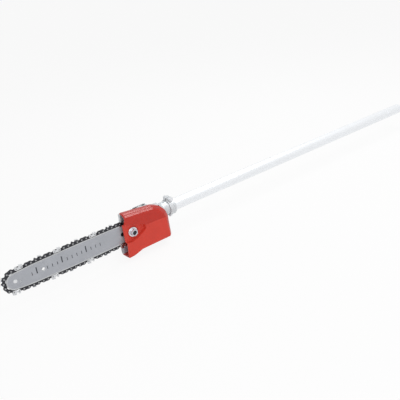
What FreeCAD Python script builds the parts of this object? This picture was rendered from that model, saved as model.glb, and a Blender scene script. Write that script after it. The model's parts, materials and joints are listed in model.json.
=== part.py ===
import FreeCAD, Part
import math
import os

import Sketcher
from FreeCAD import Rotation, Vector

# Pole saw attachment, millimetres. The pole lies along +X, the bar points along -X, the
# cover faces -Y and +Z is up. The origin is on the pole's axis at its drive end.
# The head is laid out from its own datum: the bar stud's axis crossing the pole's axis.

SIZES = {
    # pole
    "reach": (940.0, "bar stud to the pole's drive end"),
    "tube_dia": (26.0, "pole outside diameter"),
    "tube_wall": (1.5, "pole wall"),
    "tube_start": (96.0, "where the pole starts inside the neck"),
    "mark_station": (60.0, "depth mark before the pole's drive end"),
    "mark_width": (1.2, "depth mark"),
    "mark_depth": (0.25, "depth mark"),
    "shaft_dia": (8.0, "long drive shaft"),
    "shaft_proud": (16.0, "drive shaft beyond the pole"),
    "square_side": (5.6, "square ends of the drive shaft"),
    "bush_length": (22.0, "shaft bush inside the pole"),
    "bush_pitch": (210.0, "from one shaft bush to the next"),
    # fits
    "seat_gap": (0.05, "radial gap of a fixed seat"),
    "run_gap": (0.08, "radial gap of a running fit"),
    "face_gap": (0.3, "gap beside a moving face"),
    # gear head
    "neck_wall": (2.45, "neck wall round the pole"),
    "neck_end": (126.0, "end of the neck"),
    "neck_slot": (3.0, "saw cut in the neck"),
    "ring_wall": (2.5, "clamp ring wall"),
    "ring_width": (15.0, "clamp ring along the pole"),
    "ear_height": (6.3, "clamp ears above the neck"),
    "ear_half": (10.0, "clamp ears to each side of the saw cut"),
    "boss_height": (1.5, "locating screw's boss below the clamp ring"),
    "clamp_screw_dia": (4.0, "clamp screw and locating screw"),
    "gear_station": (55.5, "sprocket shaft behind the bar stud"),
    "case_wall": (3.0, "gearcase wall"),
    "case_face": (-25.0, "gearcase face that the cover closes on"),
    "plate_thick": (7.0, "gearcase mounting plate"),
    "house_wall": (6.0, "gearcase wall round the pinion's bearing"),
    "cap_step": (0.55, "gearcase face beyond the pinion's housing"),
    "cap_thick": (9.0, "gearcase cap"),
    "cap_flange": (3.0, "flange of the gearcase cap"),
    "cap_margin": (3.0, "cap and gasket beyond the gear cavity"),
    "cap_corner": (7.5, "corner of the cap and gasket"),
    "cap_screw_dia": (3.8, "cap screw"),
    "cap_head_dia": (7.0, "head of a cap screw"),
    "near_bearing_dia": (26.0, "bearing next to the chain"),
    "near_bearing_width": (8.0, "bearing next to the chain"),
    "near_bearing_depth": (11.0, "gearcase face to the near bearing's far side"),
    "far_bearing_dia": (22.0, "bearing in the cap"),
    "far_bearing_width": (7.0, "bearing in the cap"),
    "seal_dia": (22.0, "oil seal"),
    "gasket_thick": (0.6, "gasket"),
    # bevel gears
    "pinion_teeth": (14.0, "bevel pinion teeth"),
    "gear_teeth": (18.0, "bevel gear teeth"),
    "gear_module": (1.4, "module at the large end"),
    "tooth_width": (5.5, "bevel tooth length"),
    # chain and bar
    "rivet_pitch": (9.3125, "from one chain rivet to the next"),
    "drive_links": (39.0, "drive links in the chain"),
    "sprocket_teeth": (7.0, "teeth of both chain wheels"),
    "chain_bulge": (2.6, "outward bow of each run of the chain"),
    "chain_start": (-12.0, "station of the first rivet on the top run"),
    "strap_half": (3.2, "rivet line to the strap's edge"),
    "strap_thick": (1.15, "tie strap and cutter plate"),
    "link_thick": (1.3, "drive link"),
    "tang_depth": (8.5, "rivet line to the tang's tip"),
    "cutter_height": (5.8, "rivet line to the cutter's top"),
    "rivet_dia": (2.4, "chain rivet"),
    "bar_plane": (-31.0, "middle plane of bar and chain"),
    "bar_thick": (4.0, "guide bar"),
    "bar_gauge": (1.4, "groove of the guide bar"),
    "bar_tail": (33.0, "end of the guide bar behind the stud"),
    "bar_slot_front": (-24.0, "front end of the stud slot"),
    "bar_slot_back": (16.0, "back end of the stud slot"),
    "stud_dia": (8.0, "bar stud"),
    "take_up": (4.0, "travel of the bar"),
    "screw_dia": (5.0, "tension screw"),
    "pin_station": (21.0, "tension pin behind the stud"),
    "pin_drop": (11.5, "tension pin below the stud"),
    # cover
    "cover_face": (-48.0, "outer face of the cover"),
    "cover_wall": (2.2, "cover wall"),
    "cover_round": (5.0, "rounding round the cover's face"),
    "pad_face": (-40.0, "face of the nut pad"),
    "washer_dia": (20.0, "bar nut washer"),
    "washer_thick": (1.5, "bar nut washer"),
    "nut_flats": (13.0, "bar nut across flats"),
    "nut_height": (7.0, "bar nut"),
    "inner_plate_front": (-28.0, "front end of the plate behind the bar"),
    "inner_plate_back": (28.0, "back end of the plate behind the bar"),
    "inner_plate_thick": (0.75, "plate behind the bar"),
    # oil tank
    "tank_top": (-28.2, "top of the oil tank"),
    "tank_wall": (2.4, "oil tank wall"),
    "tank_front": (-20.0, "front of the oil tank"),
    "tank_belly": (-47.6, "underside of the oil tank"),
    "tank_foot": (-56.0, "underside of its feet"),
    "tank_near": (-24.0, "near side of the oil tank"),
    "tank_far": (21.0, "far side of the oil tank"),
    "tank_lean_from": (-18.0, "where the tank's front starts to lean back"),
    "tank_lean": (0.62, "how far it leans back for each mm towards the far side"),
    "filler_dia": (20.0, "filler neck"),
    "filler_height": (9.0, "filler neck above the tank"),
}

doc = FreeCAD.newDocument("PoleSaw")
sheet = doc.addObject("Spreadsheet::Sheet", "Sizes")
for row, (alias, (value, note)) in enumerate(SIZES.items(), start=1):
    sheet.set("A%d" % row, note)
    sheet.set("B%d" % row, str(value))
    sheet.setAlias("B%d" % row, alias)
doc.recompute()

PARTS = []
X_AXIS = Vector(1, 0, 0)
Y_AXIS = Vector(0, 1, 0)
Z_AXIS = Vector(0, 0, 1)
ALONG = {
    "X": Rotation(Vector(0, 1, 0), 90),
    "-Y": Rotation(Vector(1, 0, 0), 90),
    "Z": Rotation(),
}
# the neck grips the pole, and the far face lies just beyond the housing of the pinion's bearing
NECK_RADIUS = "(Sizes.tube_dia / 2 + Sizes.seat_gap + Sizes.neck_wall)"
HOUSE_RADIUS = "(Sizes.tube_dia / 2 + Sizes.seat_gap + Sizes.house_wall)"
CAP_FACE = "(%s + Sizes.cap_step)" % HOUSE_RADIUS
# radii of the bearings' balls
LARGE_BALL = "2.35"
SMALL_BALL = "2"


def size(alias):
    return float(sheet.get(alias))


def bind(item, **values):
    """Tie an object's properties to the sheet. A key x, y or z is its place."""
    for key, text in values.items():
        prop = "Placement.Base." + key if key in "xyz" else key
        item.setExpression(prop, str(text))


def cylinder(name, radius, length, axis="Z", x=0, y=0, z=0):
    item = doc.addObject("Part::Cylinder", name)
    item.Placement.Rotation = ALONG[axis]
    bind(item, Radius=radius, Height=length, x=x, y=y, z=z)
    return item


def torus(name, radius1, radius2, axis="Z", x=0, y=0, z=0):
    item = doc.addObject("Part::Torus", name)
    item.Placement.Rotation = ALONG[axis]
    bind(item, Radius1=radius1, Radius2=radius2, x=x, y=y, z=z)
    return item


def box(name, length, width, height, x=0, y=0, z=0):
    item = doc.addObject("Part::Box", name)
    bind(item, Length=length, Width=width, Height=height, x=x, y=y, z=z)
    return item


def prism(name, sides, radius, length, axis="Z", x=0, y=0, z=0):
    item = doc.addObject("Part::Prism", name)
    item.Polygon = sides
    item.Placement.Rotation = ALONG[axis]
    bind(item, Circumradius=radius, Height=length, x=x, y=y, z=z)
    return item


def fuse(name, *pieces):
    item = doc.addObject("Part::MultiFuse", name)
    item.Shapes = list(pieces)
    item.Refine = True
    return item


def cut(name, base, *tools):
    item = doc.addObject("Part::Cut", name)
    item.Base = base
    item.Tool = tools[0] if len(tools) == 1 else fuse(name + "_tools", *tools)
    item.Refine = True
    return item


def made(name, shape):
    """A shape worked out with Part's own functions, its turns and shifts kept inside a compound."""
    item = doc.addObject("Part::Feature", name)
    item.Shape = Part.makeCompound([shape])
    return item


def part(label, item):
    """Register a sub-part. The head's datum lies one reach in front of the origin."""
    item.Label = label
    item.setExpression("Placement.Base.x", "-Sizes.reach")
    PARTS.append(item)
    return item


def sketch(body, plane, points):
    """A closed polygon whose corners are expressions on the sheet."""
    item = body.newObject("Sketcher::SketchObject", body.Name + "_sketch")
    item.AttachmentSupport = [(find_plane(body, plane), "")]
    item.MapMode = "FlatFace"
    spots = [tuple(solve(text) for text in point) for point in points]
    count = len(points)
    for index, (across, up) in enumerate(spots):
        next_across, next_up = spots[(index + 1) % count]
        item.addGeometry(Part.LineSegment(Vector(across, up, 0), Vector(next_across, next_up, 0)))
    for index in range(count):
        item.addConstraint(Sketcher.Constraint("Coincident", index, 2, (index + 1) % count, 1))
    for index, point in enumerate(points):
        for kind, text, value in zip(("DistanceX", "DistanceY"), point, spots[index]):
            number = item.addConstraint(Sketcher.Constraint(kind, -1, 1, index, 1, value))
            item.setExpression("Constraints[%d]" % number, str(text))
    return item


def find_plane(body, role):
    return [entry for entry in body.Origin.OriginFeatures if entry.Role == role][0]


def solve(text):
    """The value of an expression on the sheet."""
    return float(sheet.evalExpression(str(text).replace("Sizes.", "")))


def turned(label, points, axis):
    """A turned piece: points are (along, radius) from its profile, about X, Y or Z."""
    body = doc.addObject("PartDesign::Body", label)
    along_first = axis == "X"
    plane = {"X": "XZ_Plane", "Y": "XY_Plane", "Z": "XZ_Plane"}[axis]
    corners = [(along, radius) if along_first else (radius, along) for along, radius in points]
    profile = sketch(body, plane, corners)
    doc.recompute()
    revolve = body.newObject("PartDesign::Revolution", label + "_turned")
    revolve.Profile = profile
    revolve.ReferenceAxis = (profile, ["H_Axis" if along_first else "V_Axis"])
    revolve.Angle = 360
    return body


def moved(label, body, x="0", z="0"):
    """Place a turned body on an axis of the head."""
    part(label, body)
    bind(body, x="-Sizes.reach + " + x, z=z)
    return body


def rounded_wire(corners, level=0.0):
    """A closed outline in the XZ plane; each corner is (x, z, radius)."""
    count = len(corners)
    arcs = []
    for index, (x, z, radius) in enumerate(corners):
        before = corners[index - 1]
        after = corners[(index + 1) % count]
        here = Vector(x, level, z)
        back = (Vector(before[0], level, before[1]) - here).normalize()
        ahead = (Vector(after[0], level, after[1]) - here).normalize()
        half = back.getAngle(ahead) / 2
        if radius <= 0:
            arcs.append((here, here, here))
            continue
        run = radius / math.tan(half)
        inward = (back + ahead).normalize()
        middle = here + inward * (radius / math.sin(half) - radius)
        arcs.append((here + back * run, middle, here + ahead * run))
    edges = []
    for index, (start, middle, end) in enumerate(arcs):
        if start.distanceToPoint(end) > 1e-6:
            edges.append(Part.Arc(start, middle, end).toShape())
        following = arcs[(index + 1) % count][0]
        if end.distanceToPoint(following) > 1e-6:
            edges.append(Part.LineSegment(end, following).toShape())
    return Part.Wire(edges)


def slab(corners, near, far):
    """A flat piece between two planes across Y, from an outline in XZ."""
    return Part.Face(rounded_wire(corners, near)).extrude(Vector(0, far - near, 0))


def rod(radius, start, end):
    """A round rod between two points."""
    return Part.makeCylinder(radius, (end - start).Length, start, end - start)


# ---------------------------------------------------------------- pole and drive shaft

def pole():
    length = "Sizes.reach - Sizes.tube_start"
    outer = cylinder("tube_outer", "Sizes.tube_dia / 2", length, "X", x="Sizes.tube_start")
    bore = cylinder("tube_bore", "Sizes.tube_dia / 2 - Sizes.tube_wall", length, "X", x="Sizes.tube_start")
    hole = cylinder("tube_hole", "Sizes.clamp_screw_dia / 2 + Sizes.seat_gap", "Sizes.tube_dia",
                    x=ring_middle(), z="-Sizes.tube_dia")
    mark_start = "Sizes.reach - Sizes.mark_station - Sizes.mark_width"
    mark = cut("tube_mark",
               cylinder("tube_mark_outer", "Sizes.tube_dia", "Sizes.mark_width", "X", x=mark_start),
               cylinder("tube_mark_inner", "Sizes.tube_dia / 2 - Sizes.mark_depth", "Sizes.mark_width", "X",
                        x=mark_start))
    part("main_tube", cut("main_tube_cut", outer, bore, hole, mark))

    inner = "Sizes.shaft_dia / 2 + Sizes.run_gap"
    wide = "Sizes.tube_dia / 2 - Sizes.tube_wall - Sizes.seat_gap"
    waist = "Sizes.shaft_dia / 2 + 2.5"
    land = "5"
    for index in (1, 2, 3):
        bush = turned("shaft_bush_%d" % index, [
            ("0", inner), ("Sizes.bush_length", inner), ("Sizes.bush_length", wide),
            ("Sizes.bush_length - " + land, wide), ("Sizes.bush_length - " + land, waist),
            (land, waist), (land, wide), ("0", wide)], "X")
        moved("shaft_bush_%d" % index, bush, x="Sizes.reach - %d * Sizes.bush_pitch" % index)

    lip = "Sizes.tube_dia / 2 - 0.4"
    bush = turned("end_bush", [
        ("0", inner), ("16", inner), ("16", "Sizes.shaft_dia / 2 + 2.2"), ("14.5", lip), ("14", lip),
        ("14", wide), ("0", wide)], "X")
    moved("end_bush", bush, x="Sizes.reach - 14")

    start = "Sizes.tube_start - 5"
    square = "Sizes.square_side"
    shaft = cylinder("shaft_rod", "Sizes.shaft_dia / 2",
                     "Sizes.reach + Sizes.shaft_proud - 10 - (%s)" % start,
                     "X", x=start)
    key = box("shaft_key", "12", square, square, x=start + " - 11.5", y="-%s / 2" % square,
              z="-%s / 2" % square)
    end = box("shaft_end", "12", square, square, x="Sizes.reach + Sizes.shaft_proud - 12",
              y="-%s / 2" % square, z="-%s / 2" % square)
    part("drive_shaft", fuse("drive_shaft_fuse", shaft, key, end))


# ---------------------------------------------------------------- bearings

def bearing(prefix, axis, x, y, inner, outer, width, ball, count):
    """A deep-groove ball bearing: two rings and the balls, on the X or the -Y axis."""
    middle = "(%s + %s) / 2" % (inner, outer)
    groove = "%s + 0.12" % ball
    along = {"X": ("%s + %s / 2" % (x, width), y), "-Y": (x, "%s - %s / 2" % (y, width))}[axis]
    shoulder = "%s * 0.62" % ball
    ring = cut(prefix + "_outer_cut",
               cylinder(prefix + "_outer_blank", outer + " - Sizes.seat_gap", width, axis, x=x, y=y),
               cylinder(prefix + "_outer_bore", "%s + %s" % (middle, shoulder), width, axis, x=x, y=y),
               torus(prefix + "_outer_groove", middle, groove, axis, x=along[0], y=along[1]))
    part(prefix + "_outer", ring)
    ring = cut(prefix + "_inner_cut",
               cylinder(prefix + "_inner_blank", "%s - %s" % (middle, shoulder), width, axis, x=x, y=y),
               cylinder(prefix + "_inner_bore", inner + " + Sizes.seat_gap", width, axis, x=x, y=y),
               torus(prefix + "_inner_groove", middle, groove, axis, x=along[0], y=along[1]))
    part(prefix + "_inner", ring)
    centre = Vector(solve(along[0]), solve(along[1]), 0)
    spin = X_AXIS if axis == "X" else Y_AXIS
    arm = Rotation(spin, 11).multVec(Z_AXIS) * solve(middle)
    balls = []
    for index in range(count):
        offset = Rotation(spin, 360.0 * index / count).multVec(arm)
        balls.append(Part.makeSphere(solve(ball), centre + offset))
    part(prefix + "_balls", made(prefix + "_ball_set", Part.makeCompound(balls)))


# ---------------------------------------------------------------- bevel gears

def involute(angle):
    return math.tan(angle) - angle


def bevel_blank(teeth, mate):
    """A bevel gear about +X with its cone's apex at the origin, a tooth towards +Y."""
    module = size("gear_module")
    pitch_radius = module * teeth / 2
    distance = module * mate / 2
    cone_length = math.hypot(pitch_radius, distance)
    tilt = math.atan2(pitch_radius, distance)
    back_radius = pitch_radius / math.cos(tilt)
    pressure = math.radians(20)
    half_angle = math.pi * pitch_radius / teeth / 2 / back_radius * 0.86
    heights = [-1.2 * module, -0.5 * module, 0.2 * module, 0.9 * module]
    flank = []
    for height in heights:
        radius = back_radius + height
        ratio = min(1.0, back_radius * math.cos(pressure) / radius)
        half = radius * (half_angle + involute(pressure) - involute(math.acos(ratio)))
        scale = distance / (distance - height * math.sin(tilt))
        flank.append(((pitch_radius + height * math.cos(tilt)) * scale, half * scale))
    points = []
    for tooth in range(teeth):
        turn = 2 * math.pi * tooth / teeth
        sides = [(r, -half) for r, half in flank] + [(r, half) for r, half in reversed(flank)]
        for radius, across in sides:
            angle = turn + math.atan2(across, radius)
            reach = math.hypot(radius, across)
            points.append(Vector(distance, reach * math.cos(angle), reach * math.sin(angle)))
    share = (cone_length - size("tooth_width")) / cone_length
    rings = []
    for scale in (1.0, share):
        corners = [point * scale for point in points]
        rings.append(Part.makePolygon(corners + corners[:1]))
    return Part.makeLoft(rings, True, True), distance


def gear_train():
    station = size("gear_station")
    teeth = int(size("pinion_teeth"))
    mate = int(size("gear_teeth"))
    journal = size("shaft_dia") / 2 + 1
    blank, distance = bevel_blank(teeth, mate)
    shoulder_end = bearing_station() - station
    pinion = blank.fuse(rod(journal + 1.4, Vector(distance, 0, 0), Vector(shoulder_end, 0, 0)))
    tail = size("tube_start") - 5.5 - station
    pinion = pinion.fuse(rod(journal, Vector(distance, 0, 0), Vector(tail, 0, 0)))
    side = size("square_side") + 2 * size("seat_gap")
    socket = Part.makeBox(13.5, side, side, Vector(tail - 13, -side / 2, -side / 2))
    pinion = pinion.cut(socket).removeSplitter()
    pinion.translate(Vector(station, 0, 0))
    part("bevel_pinion", made("bevel_pinion_shape", pinion))

    blank, distance = bevel_blank(mate, teeth)
    blank.rotate(Vector(), X_AXIS, 180.0 / mate)
    back = size("gear_module") * 0.4 + distance + 1.4
    rim = size("gear_module") * (mate / 2 - 1.6)
    gear = blank.fuse(rod(rim, Vector(distance, 0, 0), Vector(back, 0, 0)))
    gear = gear.fuse(rod(journal + 4, Vector(back, 0, 0), Vector(gear_hub_end(), 0, 0)))
    gear = gear.cut(rod(gear_seat() + size("seat_gap"), Vector(0, 0, 0), Vector(gear_hub_end() + 1, 0, 0)))
    # the tooth that faces +Y on the blank has to face +X once its axis lies along +Y
    gear.rotate(Vector(), X_AXIS, 180)
    gear.rotate(Vector(), Z_AXIS, 90)
    gear.translate(Vector(station, 0, 0))
    part("bevel_gear", made("bevel_gear_shape", gear.removeSplitter()))


def bearing_station():
    """Front face of the pinion's bearing."""
    return size("gear_station") + size("gear_module") * size("gear_teeth") / 2 + 2.4


def gear_hub_end():
    return solve(CAP_FACE) - 1.2


def gear_seat():
    return size("shaft_dia") / 2 + 2


def sprocket_shaft():
    gear = "Sizes.shaft_dia / 2 + 2"
    slim = "Sizes.shaft_dia / 2 + 1"
    far = "Sizes.shaft_dia / 2"
    inside = "Sizes.case_face + Sizes.near_bearing_depth"
    hub = CAP_FACE + " - 1.2"
    tip = "Sizes.bar_plane - 7"
    tail = CAP_FACE + " + Sizes.far_bearing_width"
    body = turned("sprocket_shaft", [
        (tip, "0"), (tail, "0"), (tail, far), (hub, far), (hub, gear),
        (inside, gear), (inside, slim), ("Sizes.bar_plane - 4.9", slim),
        ("Sizes.bar_plane - 4.9", slim + " - 0.8"),
        ("Sizes.bar_plane - 6", slim + " - 0.8"), ("Sizes.bar_plane - 6", slim), (tip, slim)], "Y")
    moved("sprocket_shaft", body, x="Sizes.gear_station")

    lip = "Sizes.shaft_dia / 2 + 1 + Sizes.run_gap"
    rim = "Sizes.seal_dia / 2 - Sizes.seat_gap"
    seal = turned("oil_seal", [
        ("Sizes.case_face + 0.2", lip), ("Sizes.case_face + 2.8", lip),
        ("Sizes.case_face + 2.8", rim), ("Sizes.case_face + 0.2", rim)], "Y")
    moved("oil_seal", seal, x="Sizes.gear_station")

    washer = turned("sprocket_washer", [
        ("Sizes.bar_plane - 4.7", slim + " + Sizes.seat_gap"),
        ("Sizes.bar_plane - 3.7", slim + " + Sizes.seat_gap"),
        ("Sizes.bar_plane - 3.7", slim + " + 4.5"), ("Sizes.bar_plane - 4.7", slim + " + 4.5")], "Y")
    moved("sprocket_washer", washer, x="Sizes.gear_station")

    clip = cut("e_clip_cut",
               cylinder("e_clip_blank", slim + " + 2.6", "0.9", "-Y", x="Sizes.gear_station",
                        y="Sizes.bar_plane - 5"),
               cylinder("e_clip_bore", slim + " - 0.8 + Sizes.seat_gap", "0.9", "-Y",
                        x="Sizes.gear_station",
                        y="Sizes.bar_plane - 5"),
               box("e_clip_mouth", "8", "2", "7", x="Sizes.gear_station + 1", y="Sizes.bar_plane - 6.5",
                   z="-3.5"))
    part("e_clip", clip)


# ---------------------------------------------------------------- gearcase

def plate_outline(grow=0.0):
    """Outline of the mounting plate behind the cover."""
    return [(-14 - grow, 39 + grow, 3), (54, 33 + grow, 22), (80 + grow, 8, 20),
            (81 + grow, -27.9 - grow, 3), (-18 - grow, -27.9 - grow, 3)]


def gearcase():
    station = size("gear_station")
    face = size("case_face")
    plate_back = face + size("plate_thick")
    bore = size("tube_dia") / 2 + size("seat_gap")
    house = solve(HOUSE_RADIUS)
    cap_face = solve(CAP_FACE)
    neck = solve(NECK_RADIUS)
    neck_end = size("neck_end")
    stud = size("stud_dia") / 2
    gauge_face = size("bar_plane") + size("bar_thick") / 2 + 0.8
    cavity = gear_cavity()
    flare_length, flare_start = 7, size("tube_start") - 8
    pad_front, pad_length, pad_height, pad_low = -16, 47, 28, -16
    rail_length, rail_deep, rail_height, rail_low = 50, 12, 13, -18
    web_deep, web_height = 12, 4
    foot_deep, foot_height = 2.5, 5
    stud_depth, stud_boss = 14, plate_back + 8
    screw_boss, screw_boss_depth, screw_hole, screw_depth = 4.2, 14, 1.95, 10

    body = slab(plate_outline(), face, plate_back)
    body = body.fuse(rod(house, Vector(station - cavity - 3, 0, 0), Vector(flare_start, 0, 0)))
    body = body.fuse(rod(cavity + size("case_wall"), Vector(station, face, 0),
                         Vector(station, cap_face, 0)))
    body = body.fuse(rod(neck, Vector(station, 0, 0), Vector(neck_end, 0, 0)))
    flare = Part.makeCone(house, neck, flare_length, Vector(flare_start, 0, 0), X_AXIS)
    body = body.fuse(flare)
    body = body.fuse(Part.makeBox(pad_length, face - gauge_face, pad_height,
                                  Vector(pad_front, gauge_face, pad_low)))
    body = body.fuse(Part.makeBox(rail_length, rail_deep, rail_height, Vector(pad_front, face, rail_low)))
    body = body.fuse(rod(stud + 5, Vector(0, face, 0), Vector(0, stud_boss, 0)))
    foot = Part.makeBox(station, foot_deep, foot_height, Vector(0, plate_back, -foot_height / 2))
    web = Part.makeBox(station, web_deep, web_height, Vector(0, plate_back, -web_height / 2))
    body = body.fuse(foot.fuse(web))
    for x, z in cap_screw_spots():
        body = body.fuse(rod(screw_boss, Vector(x, cap_face - screw_boss_depth, z), Vector(x, cap_face, z)))

    seat_end = face + size("near_bearing_depth")
    seat_start = seat_end - size("near_bearing_width")
    body = body.cut(rod(cavity, Vector(station, seat_end, 0), Vector(station, cap_face, 0)))
    body = body.cut(rod(bore, Vector(station, 0, 0), Vector(neck_end, 0, 0)))
    body = body.cut(rod(size("near_bearing_dia") / 2, Vector(station, seat_start, 0),
                        Vector(station, seat_end + 1, 0)))
    body = body.cut(rod(size("seal_dia") / 2, Vector(station, face, 0), Vector(station, seat_start + 1, 0)))
    clip_front = bearing_station() + 8
    body = body.cut(rod(bore + 0.9, Vector(clip_front, 0, 0), Vector(clip_front + 1.3, 0, 0)))
    slot = size("neck_slot")
    body = body.cut(Part.makeBox(30, slot, neck + 2, Vector(neck_end - 29, -slot / 2, 0)))
    body = body.cut(rod(stud + size("seat_gap"), Vector(0, gauge_face, 0), Vector(0, face + stud_depth, 0)))
    screw = size("clamp_screw_dia") / 2 + size("seat_gap")
    middle = solve(ring_middle())
    body = body.cut(rod(screw, Vector(middle, 0, -neck - 1), Vector(middle, 0, 0)))
    for x, z in cap_screw_spots():
        body = body.cut(rod(screw_hole, Vector(x, cap_face - screw_depth, z), Vector(x, cap_face, z)))
    # pocket and holes of the chain tensioner
    low = size("pin_drop")
    pin = size("pin_station")
    travel = size("take_up")
    gap = size("face_gap")
    pocket = Part.makeBox(10 + travel + 2 * gap, 10.5 - gauge_face + face, 10 + 2 * gap,
                          Vector(pin - 5 - gap, gauge_face, -low - 5 - gap))
    body = body.cut(pocket)
    turn = size("screw_dia") / 2 + size("run_gap")
    body = body.cut(rod(turn, Vector(-20, screw_plane(), -low),
                        Vector(pin + 5 + travel + 3.5, screw_plane(), -low)))
    part("gearcase", made("gearcase_shape", body))


def screw_plane():
    """Plane of the tension screw's axis."""
    return size("case_face") + 4.5


def gear_cavity():
    """Radius of the space that the bevel gear turns in."""
    return size("gear_module") * (size("gear_teeth") / 2 + 2.7)


def cap_screw_spots():
    station = size("gear_station")
    arm = gear_cavity() + 4
    return [(station + arm * math.cos(angle), arm * math.sin(angle))
            for angle in (math.radians(45 + 90 * turn) for turn in range(4))]


def gearcase_cap():
    station = size("gear_station")
    cavity = gear_cavity()
    rim = cavity + size("cap_margin")
    near = solve(CAP_FACE) + size("gasket_thick")
    far = near + size("cap_flange")
    screw = size("cap_screw_dia") / 2
    clear = screw + 0.2
    head_radius = size("cap_head_dia") / 2
    head_height, socket_side, socket_depth, thread = 3.4, 2.2, 1.8, 8
    dome_foot, dome_top = 15.5, 13.5
    corners = [(station + rim * x, rim * z, size("cap_corner"))
               for x, z in ((-1, -1), (1, -1), (1, 1), (-1, 1))]
    body = slab(corners, near, far)
    dome = size("cap_thick") - size("cap_flange")
    body = body.fuse(Part.makeCone(dome_foot, dome_top, dome, Vector(station, far, 0), Y_AXIS))
    seat = near + size("far_bearing_width")
    body = body.cut(rod(size("far_bearing_dia") / 2, Vector(station, near - 1, 0),
                        Vector(station, seat, 0)))
    for x, z in cap_screw_spots():
        body = body.cut(rod(clear, Vector(x, near - 1, z), Vector(x, far + 1, z)))
    part("gearcase_cap", made("gearcase_cap_shape", body.removeSplitter()))

    sheet_shape = slab(corners, solve(CAP_FACE), near)
    sheet_shape = sheet_shape.cut(rod(cavity, Vector(station, near - 1, 0), Vector(station, near + 1, 0)))
    for x, z in cap_screw_spots():
        sheet_shape = sheet_shape.cut(rod(clear, Vector(x, near - 1, z), Vector(x, near + 1, z)))
    part("gearcase_gasket", made("gearcase_gasket_shape", sheet_shape))

    for number, (x, z) in enumerate(cap_screw_spots(), start=1):
        head = rod(head_radius, Vector(x, far, z), Vector(x, far + head_height, z))
        corner = Vector(x - socket_side / 2, far + head_height - socket_depth, z - socket_side / 2)
        socket = Part.makeBox(socket_side, socket_depth + 1, socket_side, corner)
        shank = rod(screw, Vector(x, solve(CAP_FACE) - thread, z), Vector(x, far, z))
        part("cap_screw_%d" % number, made("cap_screw_shape_%d" % number, head.cut(socket).fuse(shank)))


def pinion_clip():
    """Internal retaining ring that holds the pinion's bearing."""
    front = bearing_station() + 8
    bore = size("tube_dia") / 2 + size("seat_gap")
    ring = rod(bore + 0.8, Vector(front + 0.1, 0, 0), Vector(front + 1.2, 0, 0))
    ring = ring.cut(rod(bore - 2.2, Vector(front, 0, 0), Vector(front + 2, 0, 0)))
    ring = ring.cut(Part.makeBox(3, 20, 7, Vector(front - 1, -3.5, 0)))
    part("pinion_clip", made("pinion_clip_shape", ring.removeSplitter()))


# ---------------------------------------------------------------- clamp ring

def ring_middle():
    return "Sizes.neck_end - 1 - Sizes.ring_width / 2"


def clamp_ring():
    inner = NECK_RADIUS + " + Sizes.seat_gap"
    outer = NECK_RADIUS + " + Sizes.ring_wall"
    start = "Sizes.neck_end - 1 - Sizes.ring_width"
    top = NECK_RADIUS + " + Sizes.ear_height"
    height = NECK_RADIUS + " + Sizes.ear_height / 2"
    screw = "Sizes.clamp_screw_dia / 2"
    boss = outer + " + Sizes.boss_height"
    far = "Sizes.ear_half"
    head = "Sizes.clamp_screw_dia"
    gap = "Sizes.seat_gap"
    middle = ring_middle()
    blank = fuse("clamp_ring_blank",
                 cylinder("clamp_ring_band", outer, "Sizes.ring_width", "X", x=start),
                 box("clamp_ring_ears", "Sizes.ring_width - 4", "2 * " + far, top, x=start + " + 2",
                     y="-" + far),
                 cylinder("clamp_ring_boss", screw + " * 2.2", boss, x=middle, z="-(%s)" % boss))
    part("clamp_ring", cut("clamp_ring_cut", blank,
                           cylinder("clamp_ring_bore", inner, "Sizes.ring_width + 2", "X",
                                    x=start + " - 1"),
                           box("clamp_ring_gap", "Sizes.ring_width + 2", "Sizes.neck_slot", top + " + 2",
                               x=start + " - 1", y="-Sizes.neck_slot / 2"),
                           cylinder("clamp_ring_hole", screw + " + " + gap, "2 * %s + 2" % far, "-Y",
                                    x=middle,
                                    y=far + " + 1", z=height),
                           cylinder("clamp_ring_drill", screw + " + " + gap, "Sizes.tube_dia", x=middle,
                                    z="-(%s) - 1" % boss)))
    part("clamp_screw", cut("clamp_screw_cut",
                            fuse("clamp_screw_blank",
                                 cylinder("clamp_screw_shank", screw, "2 * %s + 5" % far, "-Y",
                                          x=middle, y=far,
                                          z=height),
                                 cylinder("clamp_screw_head", screw + " * 1.75", head, "-Y", x=middle,
                                          y="%s + %s" % (far, head), z=height)),
                            prism("clamp_screw_socket", 6, screw + " * 0.86", head + " * 0.6", "-Y",
                                  x=middle,
                                  y="%s + %s" % (far, head), z=height)))
    part("clamp_nut", cut("clamp_nut_cut",
                          prism("clamp_nut_blank", 6, screw + " * 2.02", head + " * 0.8", "-Y", x=middle,
                                y="-" + far, z=height),
                          cylinder("clamp_nut_hole", screw + " + " + gap, head, "-Y", x=middle, y="-" + far,
                                   z=height)))
    part("locating_screw", fuse("locating_screw_fuse",
                                cylinder("locating_screw_shank", screw,
                                         "%s - Sizes.tube_dia / 2 + 1.2" % boss,
                                         x=middle, z="-(%s)" % boss),
                                cylinder("locating_screw_head", screw + " * 1.75", head + " * 0.65",
                                         x=middle,
                                         z="-(%s) - %s * 0.65" % (boss, head))))


# ---------------------------------------------------------------- chain

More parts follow.
